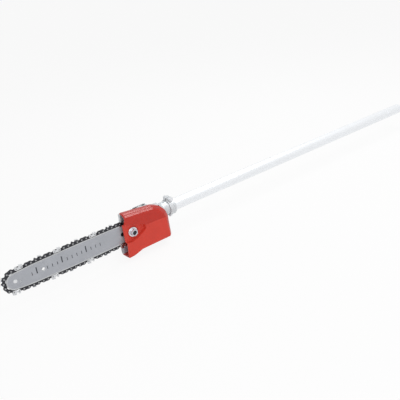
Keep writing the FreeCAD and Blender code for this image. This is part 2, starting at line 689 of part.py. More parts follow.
class ChainPath:
    """Rivet line: two wheels joined by two bowed runs, all arcs that meet in tangent."""

    def __init__(self, span):
        self.wheel = size("rivet_pitch") / (2 * math.sin(math.pi / (2 * size("sprocket_teeth"))))
        self.back = size("gear_station")
        self.front = self.back - span
        half = span / 2
        bulge = size("chain_bulge")
        self.bow = (half * half + bulge * bulge) / (2 * bulge) + self.wheel
        self.lean = math.asin(half / (self.bow - self.wheel))
        self.middle = self.back - half
        self.drop = (self.bow - self.wheel) * math.cos(self.lean)
        self.run = 2 * self.lean * self.bow
        self.wrap = (math.pi - 2 * self.lean) * self.wheel
        self.length = 2 * (self.run + self.wrap)

    def point(self, distance):
        """Point of the rivet line, starting at the back wheel's top and going forward."""
        distance = distance % self.length
        if distance < self.run:
            angle = self.lean - distance / self.bow
            return self.middle + self.bow * math.sin(angle), self.bow * math.cos(angle) - self.drop
        distance -= self.run
        if distance < self.wrap:
            angle = math.pi / 2 + self.lean + distance / self.wheel
            return self.front + self.wheel * math.cos(angle), self.wheel * math.sin(angle)
        distance -= self.wrap
        if distance < self.run:
            angle = self.lean - distance / self.bow
            return self.middle - self.bow * math.sin(angle), self.drop - self.bow * math.cos(angle)
        angle = -math.pi / 2 + self.lean + (distance - self.run) / self.wheel
        return self.back + self.wheel * math.cos(angle), self.wheel * math.sin(angle)

    def rivets(self):
        """Rivet places, each one pitch from the next, and how far the last overshoots."""
        pitch = size("rivet_pitch")
        here = self.run * (self.back - size("chain_start")) / (self.back - self.front)
        start = here
        spots = []
        for _ in range(int(2 * size("drive_links"))):
            x, z = self.point(here)
            spots.append((x, z))
            low, high = pitch * 0.9, pitch * 1.1
            for _ in range(40):
                step = (low + high) / 2
                ahead_x, ahead_z = self.point(here + step)
                if math.hypot(ahead_x - x, ahead_z - z) < pitch:
                    low = step
                else:
                    high = step
            here += step
        return spots, here - start - self.length


def fit_chain():
    """The span between the wheels that the chain's links close on."""
    low = size("rivet_pitch") * (size("drive_links") - size("sprocket_teeth")) * 0.97
    high = low / 0.97 * 1.03
    for _ in range(40):
        span = (low + high) / 2
        path = ChainPath(span)
        spots, excess = path.rivets()
        if excess > 0:
            low = span
        else:
            high = span
    return path, spots


def wheel_phase(spots, centre):
    """Turn of a chain wheel, in degrees, that lines its gaps up with the drive links."""
    best = None
    for index in range(0, len(spots), 2):
        (ax, az), (bx, bz) = spots[index], spots[index + 1]
        x, z = (ax + bx) / 2 - centre, (az + bz) / 2
        reach = abs(math.hypot(x, z) - PATH.wheel * math.cos(math.pi / (2 * size("sprocket_teeth"))))
        inside = abs(z) + (x if centre < 0 else -x)
        if reach < 0.05 and (best is None or inside < best[0]):
            best = (inside, math.degrees(math.atan2(z, x)))
    return best[1]


def chain_wheel(thick, bore, phase):
    """A chain wheel about Y at the origin, with a gap for each drive link's tang."""
    teeth = int(size("sprocket_teeth"))
    chord = PATH.wheel * math.cos(math.pi / (2 * teeth))
    outer = chord - size("strap_half") - 0.4
    root = chord - size("tang_depth") - 0.6
    mouth, floor = size("rivet_pitch") * 0.52, size("rivet_pitch") * 0.3
    points = []
    for tooth in range(teeth):
        turn = math.radians(phase) + 2 * math.pi * tooth / teeth
        corners = ((outer, -mouth), (root, -floor), (root, floor), (outer, mouth))
        for radius, across in corners:
            angle = turn + math.atan2(across, radius)
            reach = math.hypot(radius, across) if radius < outer else radius
            points.append(Vector(reach * math.cos(angle), -thick / 2, reach * math.sin(angle)))
    body = Part.Face(Part.makePolygon(points + points[:1])).extrude(Vector(0, thick, 0))
    return body.cut(rod(bore, Vector(0, -thick, 0), Vector(0, thick, 0)))


def link_plate(outline, thick, middle, ahead, behind, hole):
    """A plate laid on two rivets. Its outline has the first rivet at 0,0 and goes along +X."""
    shape = slab(outline, middle - thick / 2, middle + thick / 2)
    pitch = size("rivet_pitch")
    for x in (0, pitch):
        shape = shape.cut(rod(hole, Vector(x, middle - thick, 0), Vector(x, middle + thick, 0)))
    angle = math.degrees(math.atan2(behind[1] - ahead[1], behind[0] - ahead[0]))
    shape.rotate(Vector(), Y_AXIS, -angle)
    shape.translate(Vector(ahead[0], 0, ahead[1]))
    return shape


def strap_outline():
    """Tie strap, outward side at +Z."""
    half = size("strap_half")
    pitch = size("rivet_pitch")
    end = half * 0.95
    return [(-end, half * 0.8, 2), (pitch + end, half * 0.8, 2), (pitch + end, -half, 1.2),
            (-end, -half, 1.2)]


def cutter_outline():
    """Cutter's side plate: depth gauge over the leading rivet, tooth over the trailing one."""
    half = size("strap_half")
    pitch = size("rivet_pitch")
    top = size("cutter_height")
    end = half * 0.95
    return [(-end, half * 0.3, 0.8), (-end + 0.8, top - 1, 0.8), (1.4, top - 0.7, 1),
            (pitch * 0.38, half * 0.45, 1.5),
            (pitch * 0.5, top - 0.4, 0.3), (pitch + end - 0.6, top - 1.1, 0.5), (pitch + end, -half, 1.2),
            (-end, -half, 1.2)]


def drive_outline():
    """Drive link with its tang towards -Z."""
    half = size("strap_half")
    pitch = size("rivet_pitch")
    end = half * 0.78
    deep = size("tang_depth")
    return [(-end, half * 0.7, 1.6), (pitch + end, half * 0.7, 1.6), (pitch + end, -half * 0.4, 1),
            (pitch * 0.86, -half, 1), (pitch * 0.7, -deep, 0.6), (pitch * 0.36, -deep, 1),
            (pitch * 0.1, -half, 1),
            (-end, -half * 0.4, 1)]


def chain():
    plane = size("bar_plane")
    thick = size("strap_thick")
    offset = size("link_thick") / 2 + 0.05 + thick / 2
    hole = size("rivet_dia") / 2 + 0.05
    spots = RIVETS
    count = len(spots)
    plates = {"near": [], "far": [], "cutter_near": [], "cutter_far": [], "drive": []}
    top_plate = Part.makeBox(size("rivet_pitch") * 0.62, 3.4, 0.9)
    for index in range(0, count, 2):
        plates["drive"].append(link_plate(drive_outline(), size("link_thick"), plane, spots[index + 1],
                                          spots[index], hole))
    for order, index in enumerate(range(1, count, 2)):
        lead, trail = spots[(index + 1) % count], spots[index]
        has_cutter = order % 2 == 1 and order < count // 2 - 1
        near_side = order % 4 == 3
        for side, sign in (("near", -1), ("far", 1)):
            middle = plane + sign * offset
            if not (has_cutter and near_side == (sign < 0)):
                plates[side].append(link_plate(strap_outline(), thick, middle, lead, trail, hole))
                continue
            tooth = link_plate(cutter_outline(), thick, middle, lead, trail, hole)
            cap = top_plate.copy()
            start = middle - thick / 2 if sign < 0 else middle + thick / 2 - 3.4
            cap.translate(Vector(size("rivet_pitch") * 0.56, start, size("cutter_height") - 1.35))
            angle = math.degrees(math.atan2(trail[1] - lead[1], trail[0] - lead[0]))
            cap.rotate(Vector(), Y_AXIS, -angle)
            cap.translate(Vector(lead[0], 0, lead[1]))
            plates["cutter_" + side].append(tooth.fuse(cap))
    part("chain_drive_links", made("drive_link_set", Part.makeCompound(plates["drive"])))
    part("chain_straps_near", made("strap_set_near", Part.makeCompound(plates["near"])))
    part("chain_straps_far", made("strap_set_far", Part.makeCompound(plates["far"])))
    part("chain_cutters_near", made("cutter_set_near", Part.makeCompound(plates["cutter_near"])))
    part("chain_cutters_far", made("cutter_set_far", Part.makeCompound(plates["cutter_far"])))
    reach = offset + thick / 2 + 0.35
    pins = [rod(size("rivet_dia") / 2, Vector(x, plane - reach, z), Vector(x, plane + reach, z))
            for x, z in spots]
    part("chain_rivets", made("rivet_set", Part.makeCompound(pins)))


# ---------------------------------------------------------------- guide bar

def bar_blank(inset, nose, near, far):
    """Bar outline between its two rails, set in from the rivet line."""
    rail = PATH.bow - inset
    tail = size("bar_tail")
    shoulder = PATH.front + 2 * nose

    def rail_point(x, side=1):
        return Vector(x, near, side * (math.sqrt(rail ** 2 - (x - PATH.middle) ** 2) - PATH.drop))

    high = rail_point(shoulder)
    run = math.hypot(high.x - PATH.front, high.z)
    angle = math.atan2(high.z, high.x - PATH.front) + math.acos(nose / run)
    tangent = Vector(PATH.front + nose * math.cos(angle), near, nose * math.sin(angle))
    low_tangent = Vector(tangent.x, near, -tangent.z)
    edges = [
        Part.Arc(rail_point(tail), rail_point(PATH.middle), high).toShape(),
        Part.LineSegment(high, tangent).toShape(),
        Part.Arc(tangent, Vector(PATH.front - nose, near, 0), low_tangent).toShape(),
        Part.LineSegment(low_tangent, rail_point(shoulder, -1)).toShape(),
        Part.Arc(rail_point(shoulder, -1), rail_point(PATH.middle, -1), rail_point(tail, -1)).toShape(),
        Part.LineSegment(rail_point(tail, -1), rail_point(tail)).toShape(),
    ]
    return Part.Face(Part.Wire(edges)).extrude(Vector(0, far - near, 0))


def bar_holes(near, far):
    """Stud slot, tension pin holes, sight hole and the greasing hole by the nose."""
    half = size("stud_dia") / 2 + 0.2
    front = size("bar_slot_front") + half
    back = size("bar_slot_back") - half
    middle = Vector(0, near - 1, 0)
    end = Vector(0, far + 1, 0)
    shapes = [Part.makeBox(back - front, far - near + 2, 2 * half, Vector(front, near - 1, -half))]
    spots = [(front, 0, half), (back, 0, half)]
    pin = size("screw_dia") / 2 + size("seat_gap")
    spots += [(size("pin_station"), side * size("pin_drop"), pin) for side in (-1, 1)]
    spots += [(PATH.front + 54, 0, 3.25), (PATH.front + 9, -3.5, 1.6)]
    for x, z, radius in spots:
        place = Vector(x, 0, z)
        shapes.append(rod(radius, middle + place, end + place))
    return shapes[0].multiFuse(shapes[1:])


def guide_bar():
    plane = size("bar_plane")
    half = size("bar_thick") / 2
    gauge = size("bar_gauge") / 2
    inset = size("strap_half") + 0.1
    nose = PATH.wheel - inset - 1.4
    holes = bar_holes(plane - half, plane + half)
    rivet = 3.5
    axle = rod(rivet + 0.02, Vector(PATH.front, plane - half - 1, 0),
               Vector(PATH.front, plane + half + 1, 0))
    for label, near, far in (("bar_plate_near", plane - half, plane - gauge),
                             ("bar_plate_far", plane + gauge, plane + half)):
        shape = bar_blank(inset, nose, near, far).cut(holes).cut(axle)
        part(label, made(label + "_shape", shape))
    groove = size("tang_depth") + 0.7
    core = bar_blank(groove, PATH.wheel - groove, plane - gauge, plane + gauge).cut(holes)
    relief = rod(PATH.wheel - size("strap_half"), Vector(PATH.front, plane - 5, 0),
                 Vector(PATH.front, plane + 5, 0))
    blunt = Part.makeBox(60, 10, 60, Vector(PATH.front - 60 + 12, plane - 5, -30))
    part("bar_core", made("bar_core_shape", core.cut(relief).cut(blunt)))
    hub = rod(5, Vector(PATH.front, plane - gauge + 0.05, 0), Vector(PATH.front, plane + gauge - 0.05, 0))
    pin = rod(rivet, Vector(PATH.front, plane - half, 0), Vector(PATH.front, plane + half, 0))
    part("nose_hub", made("nose_hub_shape", hub.fuse(pin)))
    wheel = chain_wheel(size("link_thick") - 0.1, 5 + size("run_gap"), wheel_phase(RIVETS, PATH.front))
    wheel.translate(Vector(PATH.front, plane, 0))
    part("nose_sprocket", made("nose_sprocket_shape", wheel))
    wheel = chain_wheel(7, size("shaft_dia") / 2 + 1 + size("seat_gap"), wheel_phase(RIVETS, PATH.back))
    wheel.translate(Vector(PATH.back, plane, 0))
    part("drive_sprocket", made("drive_sprocket_shape", wheel))


def tensioner():
    low = size("pin_drop")
    pin = size("pin_station")
    half = 5
    block_near = size("bar_plane") + size("bar_thick") / 2 + 1
    block_far = size("case_face") + 10
    head_front, head_back = -21.5, -18.5
    notch_width, notch_deep = 1.2, 1.3
    block = Part.makeBox(2 * half, block_far - block_near, 2 * half,
                         Vector(pin - half, block_near, -low - half))
    block = block.fuse(rod(size("screw_dia") / 2,
                           Vector(pin, size("bar_plane") - size("bar_thick") / 2, -low),
                           Vector(pin, block_near, -low)))
    hole = size("screw_dia") / 2 + size("run_gap")
    block = block.cut(rod(hole, Vector(pin - half - 1, screw_plane(), -low),
                          Vector(pin + half + 1, screw_plane(), -low)))
    part("tension_block", made("tension_block_shape", block))
    tip = pin + half + size("take_up") + 3
    screw = rod(size("screw_dia") / 2, Vector(head_back, screw_plane(), -low),
                Vector(tip, screw_plane(), -low))
    head = rod(size("screw_dia") * 0.8, Vector(head_front, screw_plane(), -low),
               Vector(head_back + 0.1, screw_plane(), -low))
    slot = Part.makeBox(notch_deep + 0.1, 2 * half, notch_width,
                        Vector(head_front - 0.1, screw_plane() - half, -low - notch_width / 2))
    part("tension_screw", made("tension_screw_shape", screw.fuse(head).cut(slot)))


def stud_and_plate():
    plane = size("bar_plane")
    face = plane + size("bar_thick") / 2
    radius = size("stud_dia") / 2
    front = size("inner_plate_front")
    plate_low, plate_high = -14.5, 12.5
    plate = Part.makeBox(size("inner_plate_back") - front, size("inner_plate_thick"),
                         plate_high - plate_low,
                         Vector(front, face + 0.02, plate_low))
    plate = plate.cut(rod(radius + 0.1, Vector(0, face - 1, 0), Vector(0, face + 2, 0)))
    travel = size("take_up")
    slot_height, slot_margin = 7, 4
    slot = Part.makeBox(travel + 2 * slot_margin, 3, slot_height,
                        Vector(size("pin_station") - slot_margin, face - 1,
                               -size("pin_drop") - slot_height / 2))
    part("bar_plate", made("bar_plate_shape", plate.cut(slot)))
    body = turned("bar_stud", [
        ("Sizes.case_face + 14", "0"), ("Sizes.case_face + 14", "Sizes.stud_dia / 2"),
        ("Sizes.cover_face", "Sizes.stud_dia / 2"), ("Sizes.cover_face - 1", "Sizes.stud_dia / 2 - 1"),
        ("Sizes.cover_face - 1", "0")], "Y")
    moved("bar_stud", body)


# ---------------------------------------------------------------- cover, washer and nut

def cover_outline(inset=0.0):
    return [(-14 + inset, 42 - inset, 3), (60 - inset / 2, 34.5 - inset, 24), (86.5 - inset, 7, 19),
            (87 - inset, -37.5 + inset, 4), (16, -37 + inset, 8), (-9, -47 + inset, 6),
            (-24 + inset, -48 + inset, 3)]


def pad_outline(grow=0.0):
    """Sunken pad of the bar nut."""
    return [(-30, 24 + grow, 0.5), (-18, 24 + grow, 2), (27 + grow, 8.5 + grow, 2), (27 + grow, -2, 5),
            (6 + grow, -14 - grow, 8), (-10, -18 - grow, 4), (-30, -16 - grow, 0.5)]


def sprocket_cover():
    rim = size("case_face")
    face = size("cover_face")
    wall = size("cover_wall")
    pad = size("pad_face")
    shell = slab(cover_outline(), face, rim)
    edges = [edge for edge in shell.Edges if edge.BoundBox.YMax < face + 0.01]
    shell = shell.makeFillet(size("cover_round"), edges)
    shell = shell.cut(slab(pad_outline(), face - 1, pad))
    inner = slab(cover_outline(wall), face + wall, rim + 1)
    edges = [edge for edge in inner.Edges if edge.BoundBox.YMax < face + wall + 0.01]
    inner = inner.makeFillet(size("cover_round") - wall, edges)
    inner = inner.cut(slab(pad_outline(wall), face, pad + wall))
    shell = shell.cut(inner)
    bar_near = size("bar_plane") - size("bar_thick") / 2
    mouth = Part.makeBox(30, rim + 1 - pad - wall, 69, Vector(-32, pad + wall, -31))
    shell = shell.cut(mouth)
    boss = rod(size("washer_dia") / 2 + 1, Vector(0, pad + 0.6, 0), Vector(0, bar_near - 0.05, 0))
    shell = shell.fuse(boss)
    recess = rod(size("washer_dia") / 2 + 1.2, Vector(0, face, 0), Vector(0, pad + 0.6, 0))
    hole = rod(size("stud_dia") / 2 + 0.3, Vector(0, face, 0), Vector(0, rim, 0))
    shell = shell.cut(recess).cut(hole)
    part("sprocket_cover", made("sprocket_cover_shape", shell.removeSplitter()))

    stud = "Sizes.stud_dia / 2"
    floor = "Sizes.pad_face + 0.55"
    washer_top = floor + " - Sizes.washer_thick"
    washer = turned("nut_washer", [
        (floor, stud + " + 0.2"), (floor, "Sizes.washer_dia / 2"),
        (washer_top + " + 0.3", "Sizes.washer_dia / 2"),
        (washer_top, "Sizes.washer_dia / 2 - 0.4"), (washer_top, stud + " + 0.2")], "Y")
    moved("nut_washer", washer)
    nut_face = "Sizes.pad_face + 0.5 - Sizes.washer_thick"
    nut = cut("bar_nut_cut",
              prism("bar_nut_blank", 6, "Sizes.nut_flats / 2 / cos(30)", "Sizes.nut_height", "-Y",
                    y=nut_face),
              cylinder("bar_nut_thread", stud + " + Sizes.run_gap", "Sizes.nut_height", "-Y", y=nut_face))
    part("bar_nut", nut)


# ---------------------------------------------------------------- oil tank

def tank_outline(inset=0.0):
    """The tank from the side, with its shallow front foot and its rear one."""
    front, top = size("tank_front"), size("tank_top") - inset
    belly, foot = size("tank_belly") + inset, size("tank_foot") + inset
    return [(front + 15 + inset, top, 2), (front + 1 + inset, -34, 4), (front + inset, -46, 8),
            (front + 4 + inset / 2, foot, 4), (front + 14, foot, 4), (front + 24 + inset / 2, belly, 6),
            (72 - inset / 2, belly, 6), (86, foot + 2.5, 3), (94 - inset, foot + 4, 3),
            (92 - inset, top, 5)]


def tank_plan(inset=0.0):
    """The tank from above: its front leans back towards the far side."""
    front, rear, high, low = size("tank_front") - 3 + inset, 100 - inset, 60, 10
    near, far, start = size("tank_near") + inset, size("tank_far") - inset, size("tank_lean_from")
    corners = [(front, near - 1, 0.5), (rear, near - 1, 0.5), (rear, far + 1, 0.5),
               (front + size("tank_lean") * (far - start), far + 1, 0.5), (front, start, 0.5)]
    plan = slab(corners, low, high)
    plan.rotate(Vector(), X_AXIS, -90)
    return plan


def filler_spot():
    return Vector(8, 6, size("tank_top"))


def oil_tank():
    near = size("tank_near")
    far = size("tank_far")
    wall = size("tank_wall")
    neck = size("filler_dia") / 2
    spot = filler_spot()
    high = size("filler_height")
    shell = slab(tank_outline(), near, far).common(tank_plan())
    shell = shell.fuse(rod(neck, spot - Z_AXIS, spot + Z_AXIS * high))
    cavity = slab(tank_outline(wall), near + wall, far - wall).common(tank_plan(wall))
    cavity = cavity.fuse(rod(neck - wall, spot - Z_AXIS * (wall + 1), spot + Z_AXIS * high))
    hose = hose_spot()
    port = rod(3 + size("seat_gap"), hose - Z_AXIS * (wall + 1), hose + Z_AXIS)
    part("oil_tank", made("oil_tank_shape", shell.cut(cavity).cut(port).removeSplitter()))

    floor = "Sizes.tank_top + Sizes.filler_height + 0.05"
    seal = turned("filler_seal", [
        (floor, "Sizes.filler_dia / 2 - 3.2"), (floor, "Sizes.filler_dia / 2 - 0.2"),
        (floor + " + 1.4", "Sizes.filler_dia / 2 - 0.2"),
        (floor + " + 1.4", "Sizes.filler_dia / 2 - 3.2")], "Z")
    moved("filler_seal", seal, x=str(spot.x))
    bind(seal, y=str(spot.y))
    base = floor + " - 4.5"
    crown = floor + " + 1.45"
    outer = "Sizes.filler_dia / 2 + 2.6"
    cap = turned("filler_cap", [
        (base, "Sizes.filler_dia / 2 + 0.15"), (base, outer), (crown + " + 1.6", outer),
        (crown + " + 2.6", outer + " - 1"), (crown + " + 2.6", "0"), (crown, "0"),
        (crown, "Sizes.filler_dia / 2 + 0.15")], "Z")
    moved("filler_cap", cap, x=str(spot.x))
    bind(cap, y=str(spot.y))


def hose_spot():
    return Vector(35, 4, size("tank_top"))


def oil_pump():
    spot = hose_spot()
    station = size("gear_station")
    block_length, block_deep, block_height, lift = 14, 12, 9, 0.4
    plug_radius, plug_height, plug_length = 4, 5, 4
    hose_length, hose_outer, hose_bore = 11, 3, 1.6
    filter_outer, filter_top, filter_end = 5, 10, 16.5
    block = Part.makeBox(block_length, block_deep, block_height,
                         spot + Vector(-block_length / 2, -block_deep / 2, lift))
    block = block.fuse(rod(plug_radius, spot + Vector(-block_length / 2, 0, plug_height),
                           spot + Vector(-block_length / 2 - plug_length, 0, plug_height)))
    house = solve(HOUSE_RADIUS) + 0.1
    clear = rod(house, Vector(0, 0, 0), Vector(2 * station, 0, 0))
    part("oil_pump", made("oil_pump_shape", block.cut(clear)))
    hose = rod(hose_outer, spot + Z_AXIS * 0.3, spot - Z_AXIS * hose_length)
    hose = hose.cut(rod(hose_bore, spot + Z_AXIS * 0.3, spot - Z_AXIS * hose_length))
    part("oil_hose", made("oil_hose_shape", hose))
    filter_body = rod(filter_outer, spot - Z_AXIS * filter_top, spot - Z_AXIS * filter_end)
    filter_body = filter_body.cut(rod(hose_outer + size("seat_gap"), spot - Z_AXIS * (filter_top - 1),
                                      spot - Z_AXIS * (hose_length + 0.1)))
    part("oil_filter", made("oil_filter_shape", filter_body))


# ---------------------------------------------------------------- build, check and export

PATH, RIVETS = fit_chain()

pole()
gear_train()
sprocket_shaft()
bearing("pinion_bearing", "X", str(bearing_station()), "0", "(Sizes.shaft_dia / 2 + 1)",
        "(Sizes.tube_dia / 2 + Sizes.seat_gap)", "Sizes.near_bearing_width", LARGE_BALL, 7)
bearing("near_bearing", "-Y", "Sizes.gear_station", "Sizes.case_face + Sizes.near_bearing_depth",
        "(Sizes.shaft_dia / 2 + 1)", "(Sizes.near_bearing_dia / 2)", "Sizes.near_bearing_width",
        LARGE_BALL, 7)
bearing("far_bearing", "-Y", "Sizes.gear_station",
        CAP_FACE + " + Sizes.gasket_thick + Sizes.far_bearing_width",
        "(Sizes.shaft_dia / 2)", "(Sizes.far_bearing_dia / 2)", "Sizes.far_bearing_width", SMALL_BALL, 7)
gearcase()
gearcase_cap()
pinion_clip()
clamp_ring()
chain()
guide_bar()
tensioner()
stud_and_plate()
sprocket_cover()
oil_tank()
oil_pump()
doc.recompute()

problems = [item.Name for item in doc.Objects if "Invalid" in item.State or "Error" in item.State]
problems += [item.Label for item in PARTS if item.Shape.isNull() or not item.Shape.isValid()]
if problems:
    raise RuntimeError("failed: " + ", ".join(problems))
os.makedirs("parts", exist_ok=True)
for item in PARTS:
    item.Shape.exportStep("parts/%s.step" % item.Label)
print(len(PARTS), "sub-parts, chain wheels %.2f apart" % (PATH.back - PATH.front))
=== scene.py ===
"""Builds the finished surfaces of a pole saw head round its fixed frame.

The frame holds every size and place. Lengths in the property groups are millimetres.
u is the distance along the pole from the bar nut, so x = u + the nut's own x.
"""

import json
import math
from types import SimpleNamespace

import bmesh
import bpy
from bpy.props import FloatProperty, FloatVectorProperty, IntProperty, PointerProperty
from mathutils import Matrix, Vector
from mathutils.geometry import delaunay_2d_cdt
from mathutils.kdtree import KDTree


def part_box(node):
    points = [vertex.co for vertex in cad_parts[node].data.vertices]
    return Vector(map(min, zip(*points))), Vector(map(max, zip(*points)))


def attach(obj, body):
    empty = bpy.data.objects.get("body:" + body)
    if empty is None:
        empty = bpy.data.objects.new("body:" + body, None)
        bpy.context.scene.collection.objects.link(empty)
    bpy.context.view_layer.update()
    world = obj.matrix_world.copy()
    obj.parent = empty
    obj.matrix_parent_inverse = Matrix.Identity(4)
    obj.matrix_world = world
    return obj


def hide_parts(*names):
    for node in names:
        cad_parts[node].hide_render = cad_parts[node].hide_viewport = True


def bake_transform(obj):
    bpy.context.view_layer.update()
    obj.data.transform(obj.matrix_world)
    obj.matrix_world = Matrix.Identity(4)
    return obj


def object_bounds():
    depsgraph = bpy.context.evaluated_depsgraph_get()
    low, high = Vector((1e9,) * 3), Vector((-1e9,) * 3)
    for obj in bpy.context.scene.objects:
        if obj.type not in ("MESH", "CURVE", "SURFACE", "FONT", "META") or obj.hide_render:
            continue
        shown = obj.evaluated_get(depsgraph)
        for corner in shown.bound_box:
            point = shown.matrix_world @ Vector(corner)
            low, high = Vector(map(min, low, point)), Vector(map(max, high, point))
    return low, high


bl_info = {
    "name": "Pole Saw Finish",
    "version": (1, 0, 0),
    "blender": (4, 5, 0),
    "location": "3D View > Sidebar > Pole Saw",
    "description": "Finished pieces, materials and a studio for a pole saw head",
    "category": "Object",
}

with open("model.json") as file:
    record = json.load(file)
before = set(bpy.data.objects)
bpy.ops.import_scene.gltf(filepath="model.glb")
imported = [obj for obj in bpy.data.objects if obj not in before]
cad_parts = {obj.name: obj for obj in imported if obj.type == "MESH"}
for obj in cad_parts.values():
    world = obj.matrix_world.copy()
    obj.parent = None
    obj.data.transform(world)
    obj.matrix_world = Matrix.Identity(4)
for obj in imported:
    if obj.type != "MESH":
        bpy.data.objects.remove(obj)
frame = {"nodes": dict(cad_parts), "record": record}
CAD_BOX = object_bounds()

MM = 0.001

# Points closer than this are one point, in metres: in a frame node and in a finished piece.
NODE_MERGE = 0.000002
PIECE_MERGE = 0.000001


def middle(node):
    """The centre of a node's box, in metres."""
    low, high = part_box(node)
    return (low + high) / 2


def half_size(node):
    """Half the size of a node's box, in millimetres."""
    low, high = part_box(node)
    return (high - low) / 2 / MM


STUD_X = middle("bar_nut").x
ORIGIN = Vector((0, 0, 0))
ALONG_Y = Vector((0, 1, 0))
ALONG_Z = Vector((0, 0, 1))


def at(u, y, z):
    """A point of the head, given in millimetres from the stud's axis."""
    return Vector((STUD_X + u * MM, y * MM, z * MM))


# Sizes and colours


def length(name, description, default):
    """A length property whose default is given in millimetres."""
    return FloatProperty(
        name=name, description=description, default=default * MM, min=0.0, precision=5,
        unit="LENGTH",
    )


def plain(name, description, default):
    return FloatProperty(name=name, description=description, default=default, min=0.0)


def colour(name, description, default):
    return FloatVectorProperty(
        name=name, description=description, default=default, size=3, min=0.0, max=1.0,
        subtype="COLOR",
    )


class PoleSawColours(bpy.types.PropertyGroup):
    """The finishes' colours"""

    pole: colour("Pole", "Clear anodised tube", (0.875, 0.895, 0.92))
    casting: colour("Casting", "Blasted die casting", (0.67, 0.695, 0.715))
    cover: colour("Cover", "Gloss moulded sprocket cover", (0.52, 0.021, 0.009))
    # The panel's red is a lighter copy of the cover's red: painted light, for the extra light the
    # lower panel catches and the upper band does not.
    panel: colour("Cover panel", "Satin lower panel of the cover", (0.66, 0.052, 0.032))
    bar: colour("Bar", "Enamel of the guide bar", (0.42, 0.435, 0.47))
    bar_mark: colour("Bar scale", "Printed depth scale", (0.035, 0.04, 0.05))
    steel: colour("Ground steel", "Bare ground steel", (0.60, 0.61, 0.62))
    chain: colour("Chain", "Blued chain links", (0.045, 0.045, 0.052))
    chrome: colour("Cutter", "Hard chrome cutters", (0.72, 0.73, 0.75))
    zinc: colour("Zinc", "Bright zinc plate", (0.80, 0.81, 0.83))
    nut: colour("Nut", "Dull zinc of the bar nut", (0.58, 0.59, 0.64))
    black_oxide: colour("Black oxide", "Screws and shaft", (0.025, 0.025, 0.03))
    tank: colour("Tank", "Smoky tank plastic", (0.42, 0.37, 0.41))
    black_plastic: colour("Black plastic", "Bushes and cap", (0.022, 0.022, 0.025))
    rubber: colour("Rubber", "Seals and hose", (0.02, 0.02, 0.02))
    brass: colour("Brass", "Oil pump body", (0.62, 0.42, 0.16))
    gasket: colour("Gasket", "Pressed fibre", (0.13, 0.14, 0.14))


class PoleSawCover(bpy.types.PropertyGroup):
    """The sprocket cover's sizes, in millimetres"""

    wall: length("Wall", "Wall thickness", 2.2)
    band_slope: plain("Band slope", "How steeply the upper band leans back", 0.15)
    crease_height: length("Crease height", "Height of the crease at its front", 6.8)
    crease_fall: plain("Crease fall", "Fall of the crease per millimetre", 0.034)
    pad_depth: length("Pad depth", "How far the nut pad is sunk", 8.0)
    recess_radius: length("Recess radius", "Radius of the washer recess", 11.0)
    recess_depth: length("Recess depth", "Depth of the washer recess", 1.1)
    hole_radius: length("Hole radius", "Radius of the stud hole", 4.6)
    mesh_pitch: length("Mesh pitch", "Spacing of the face's points", 2.6)


class PoleSawChain(bpy.types.PropertyGroup):
    """The saw chain's sizes, in millimetres"""

    rivet_radius: length("Rivet radius", "Radius of a rivet's head", 1.75)
    rivet_sides: IntProperty(name="Rivet sides", description="Sides of a rivet", default=12)


class PoleSawSmallParts(bpy.types.PropertyGroup):
    """The small parts' sizes, in millimetres"""

    skin_voxel: length("Casting voxel", "Voxel of the cast skin", 0.75)
    tank_voxel: length("Tank voxel", "Voxel of the tank's skin", 0.9)
    rim_width: length("Rim width", "Ground rim of the guide bar", 1.9)
    thread_pitch: length("Thread pitch", "Pitch of the bar stud", 1.25)
    thread_depth: length("Thread depth", "Depth of its thread", 0.55)
    cap_ribs: IntProperty(name="Cap ribs", description="Grip ribs on the cap", default=28)


class PoleSawStudio(bpy.types.PropertyGroup):
    """The floor, lamps and camera"""

    floor: colour("Floor", "Plain pale floor", (0.92, 0.92, 0.92))
    lens: plain("Lens", "Focal length in millimetres", 50.94)
    top_power: plain("Top power", "Power of the overhead softbox in watts", 14.0)
    front_power: plain("Front power", "Power of the frontal softbox in watts", 15.5)
    ambient: plain("Ambient", "Strength of the world's plain light", 0.38)


def in_millimetres(group):
    """A property group's values, with the lengths in millimetres."""
    values = {}
    for key in type(group).__annotations__:
        value = getattr(group, key)
        kind = group.bl_rna.properties[key]
        values[key] = value / MM if getattr(kind, "unit", "") == "LENGTH" else value
    return SimpleNamespace(**values)


# Node trees


class Tree:
    """Adds and joins nodes in one node tree. A value may be plain or a node's output."""

    def __init__(self, tree):
        self.tree = tree

    def feed(self, socket, value):
        if isinstance(value, bpy.types.NodeSocket):
            self.tree.links.new(value, socket)
        else:
            socket.default_value = value

    def add(self, kind, values=None, **settings):
        node = self.tree.nodes.new(kind)
        for key, value in settings.items():
            setattr(node, key, value)
        for key, value in (values or {}).items():
            self.feed(node.inputs[key], value)
        return node

    def math(self, operation, *values, clamp=False):
        values = dict(enumerate(values))
        return self.add("ShaderNodeMath", values, operation=operation, use_clamp=clamp).outputs[0]

    def blend(self, factor, first, second):
        """A colour between two colours."""
        values = {0: factor, 6: first, 7: second}
        return self.add("ShaderNodeMix", values, data_type="RGBA").outputs[2]

    def span(self, value, low, high, to_low, to_high):
        values = {0: value, 1: low, 2: high, 3: to_low, 4: to_high}
        return self.add("ShaderNodeMapRange", values).outputs[0]

    def surface(self, share, first, second, output):
        """Ends the tree in a mix of two shaders."""
        mix = self.add("ShaderNodeMixShader", {0: share, 1: first, 2: second})
        self.feed(self.tree.nodes[output].inputs["Surface"], mix.outputs[0])


# Kinds of noise, by how it is stretched or how fine it is.
DRAWN = {"stretch": (0.02, 1.0, 1.0)}
GROUND = {"stretch": (0.03, 1.0, 1.0)}
TURNED = {"stretch": (1.0, 1.0, 0.05)}
FLOWED = {"stretch": (0.4, 1, 1)}
FINE = {"detail": 4.0}
FIBROUS = {"detail": 5.0}

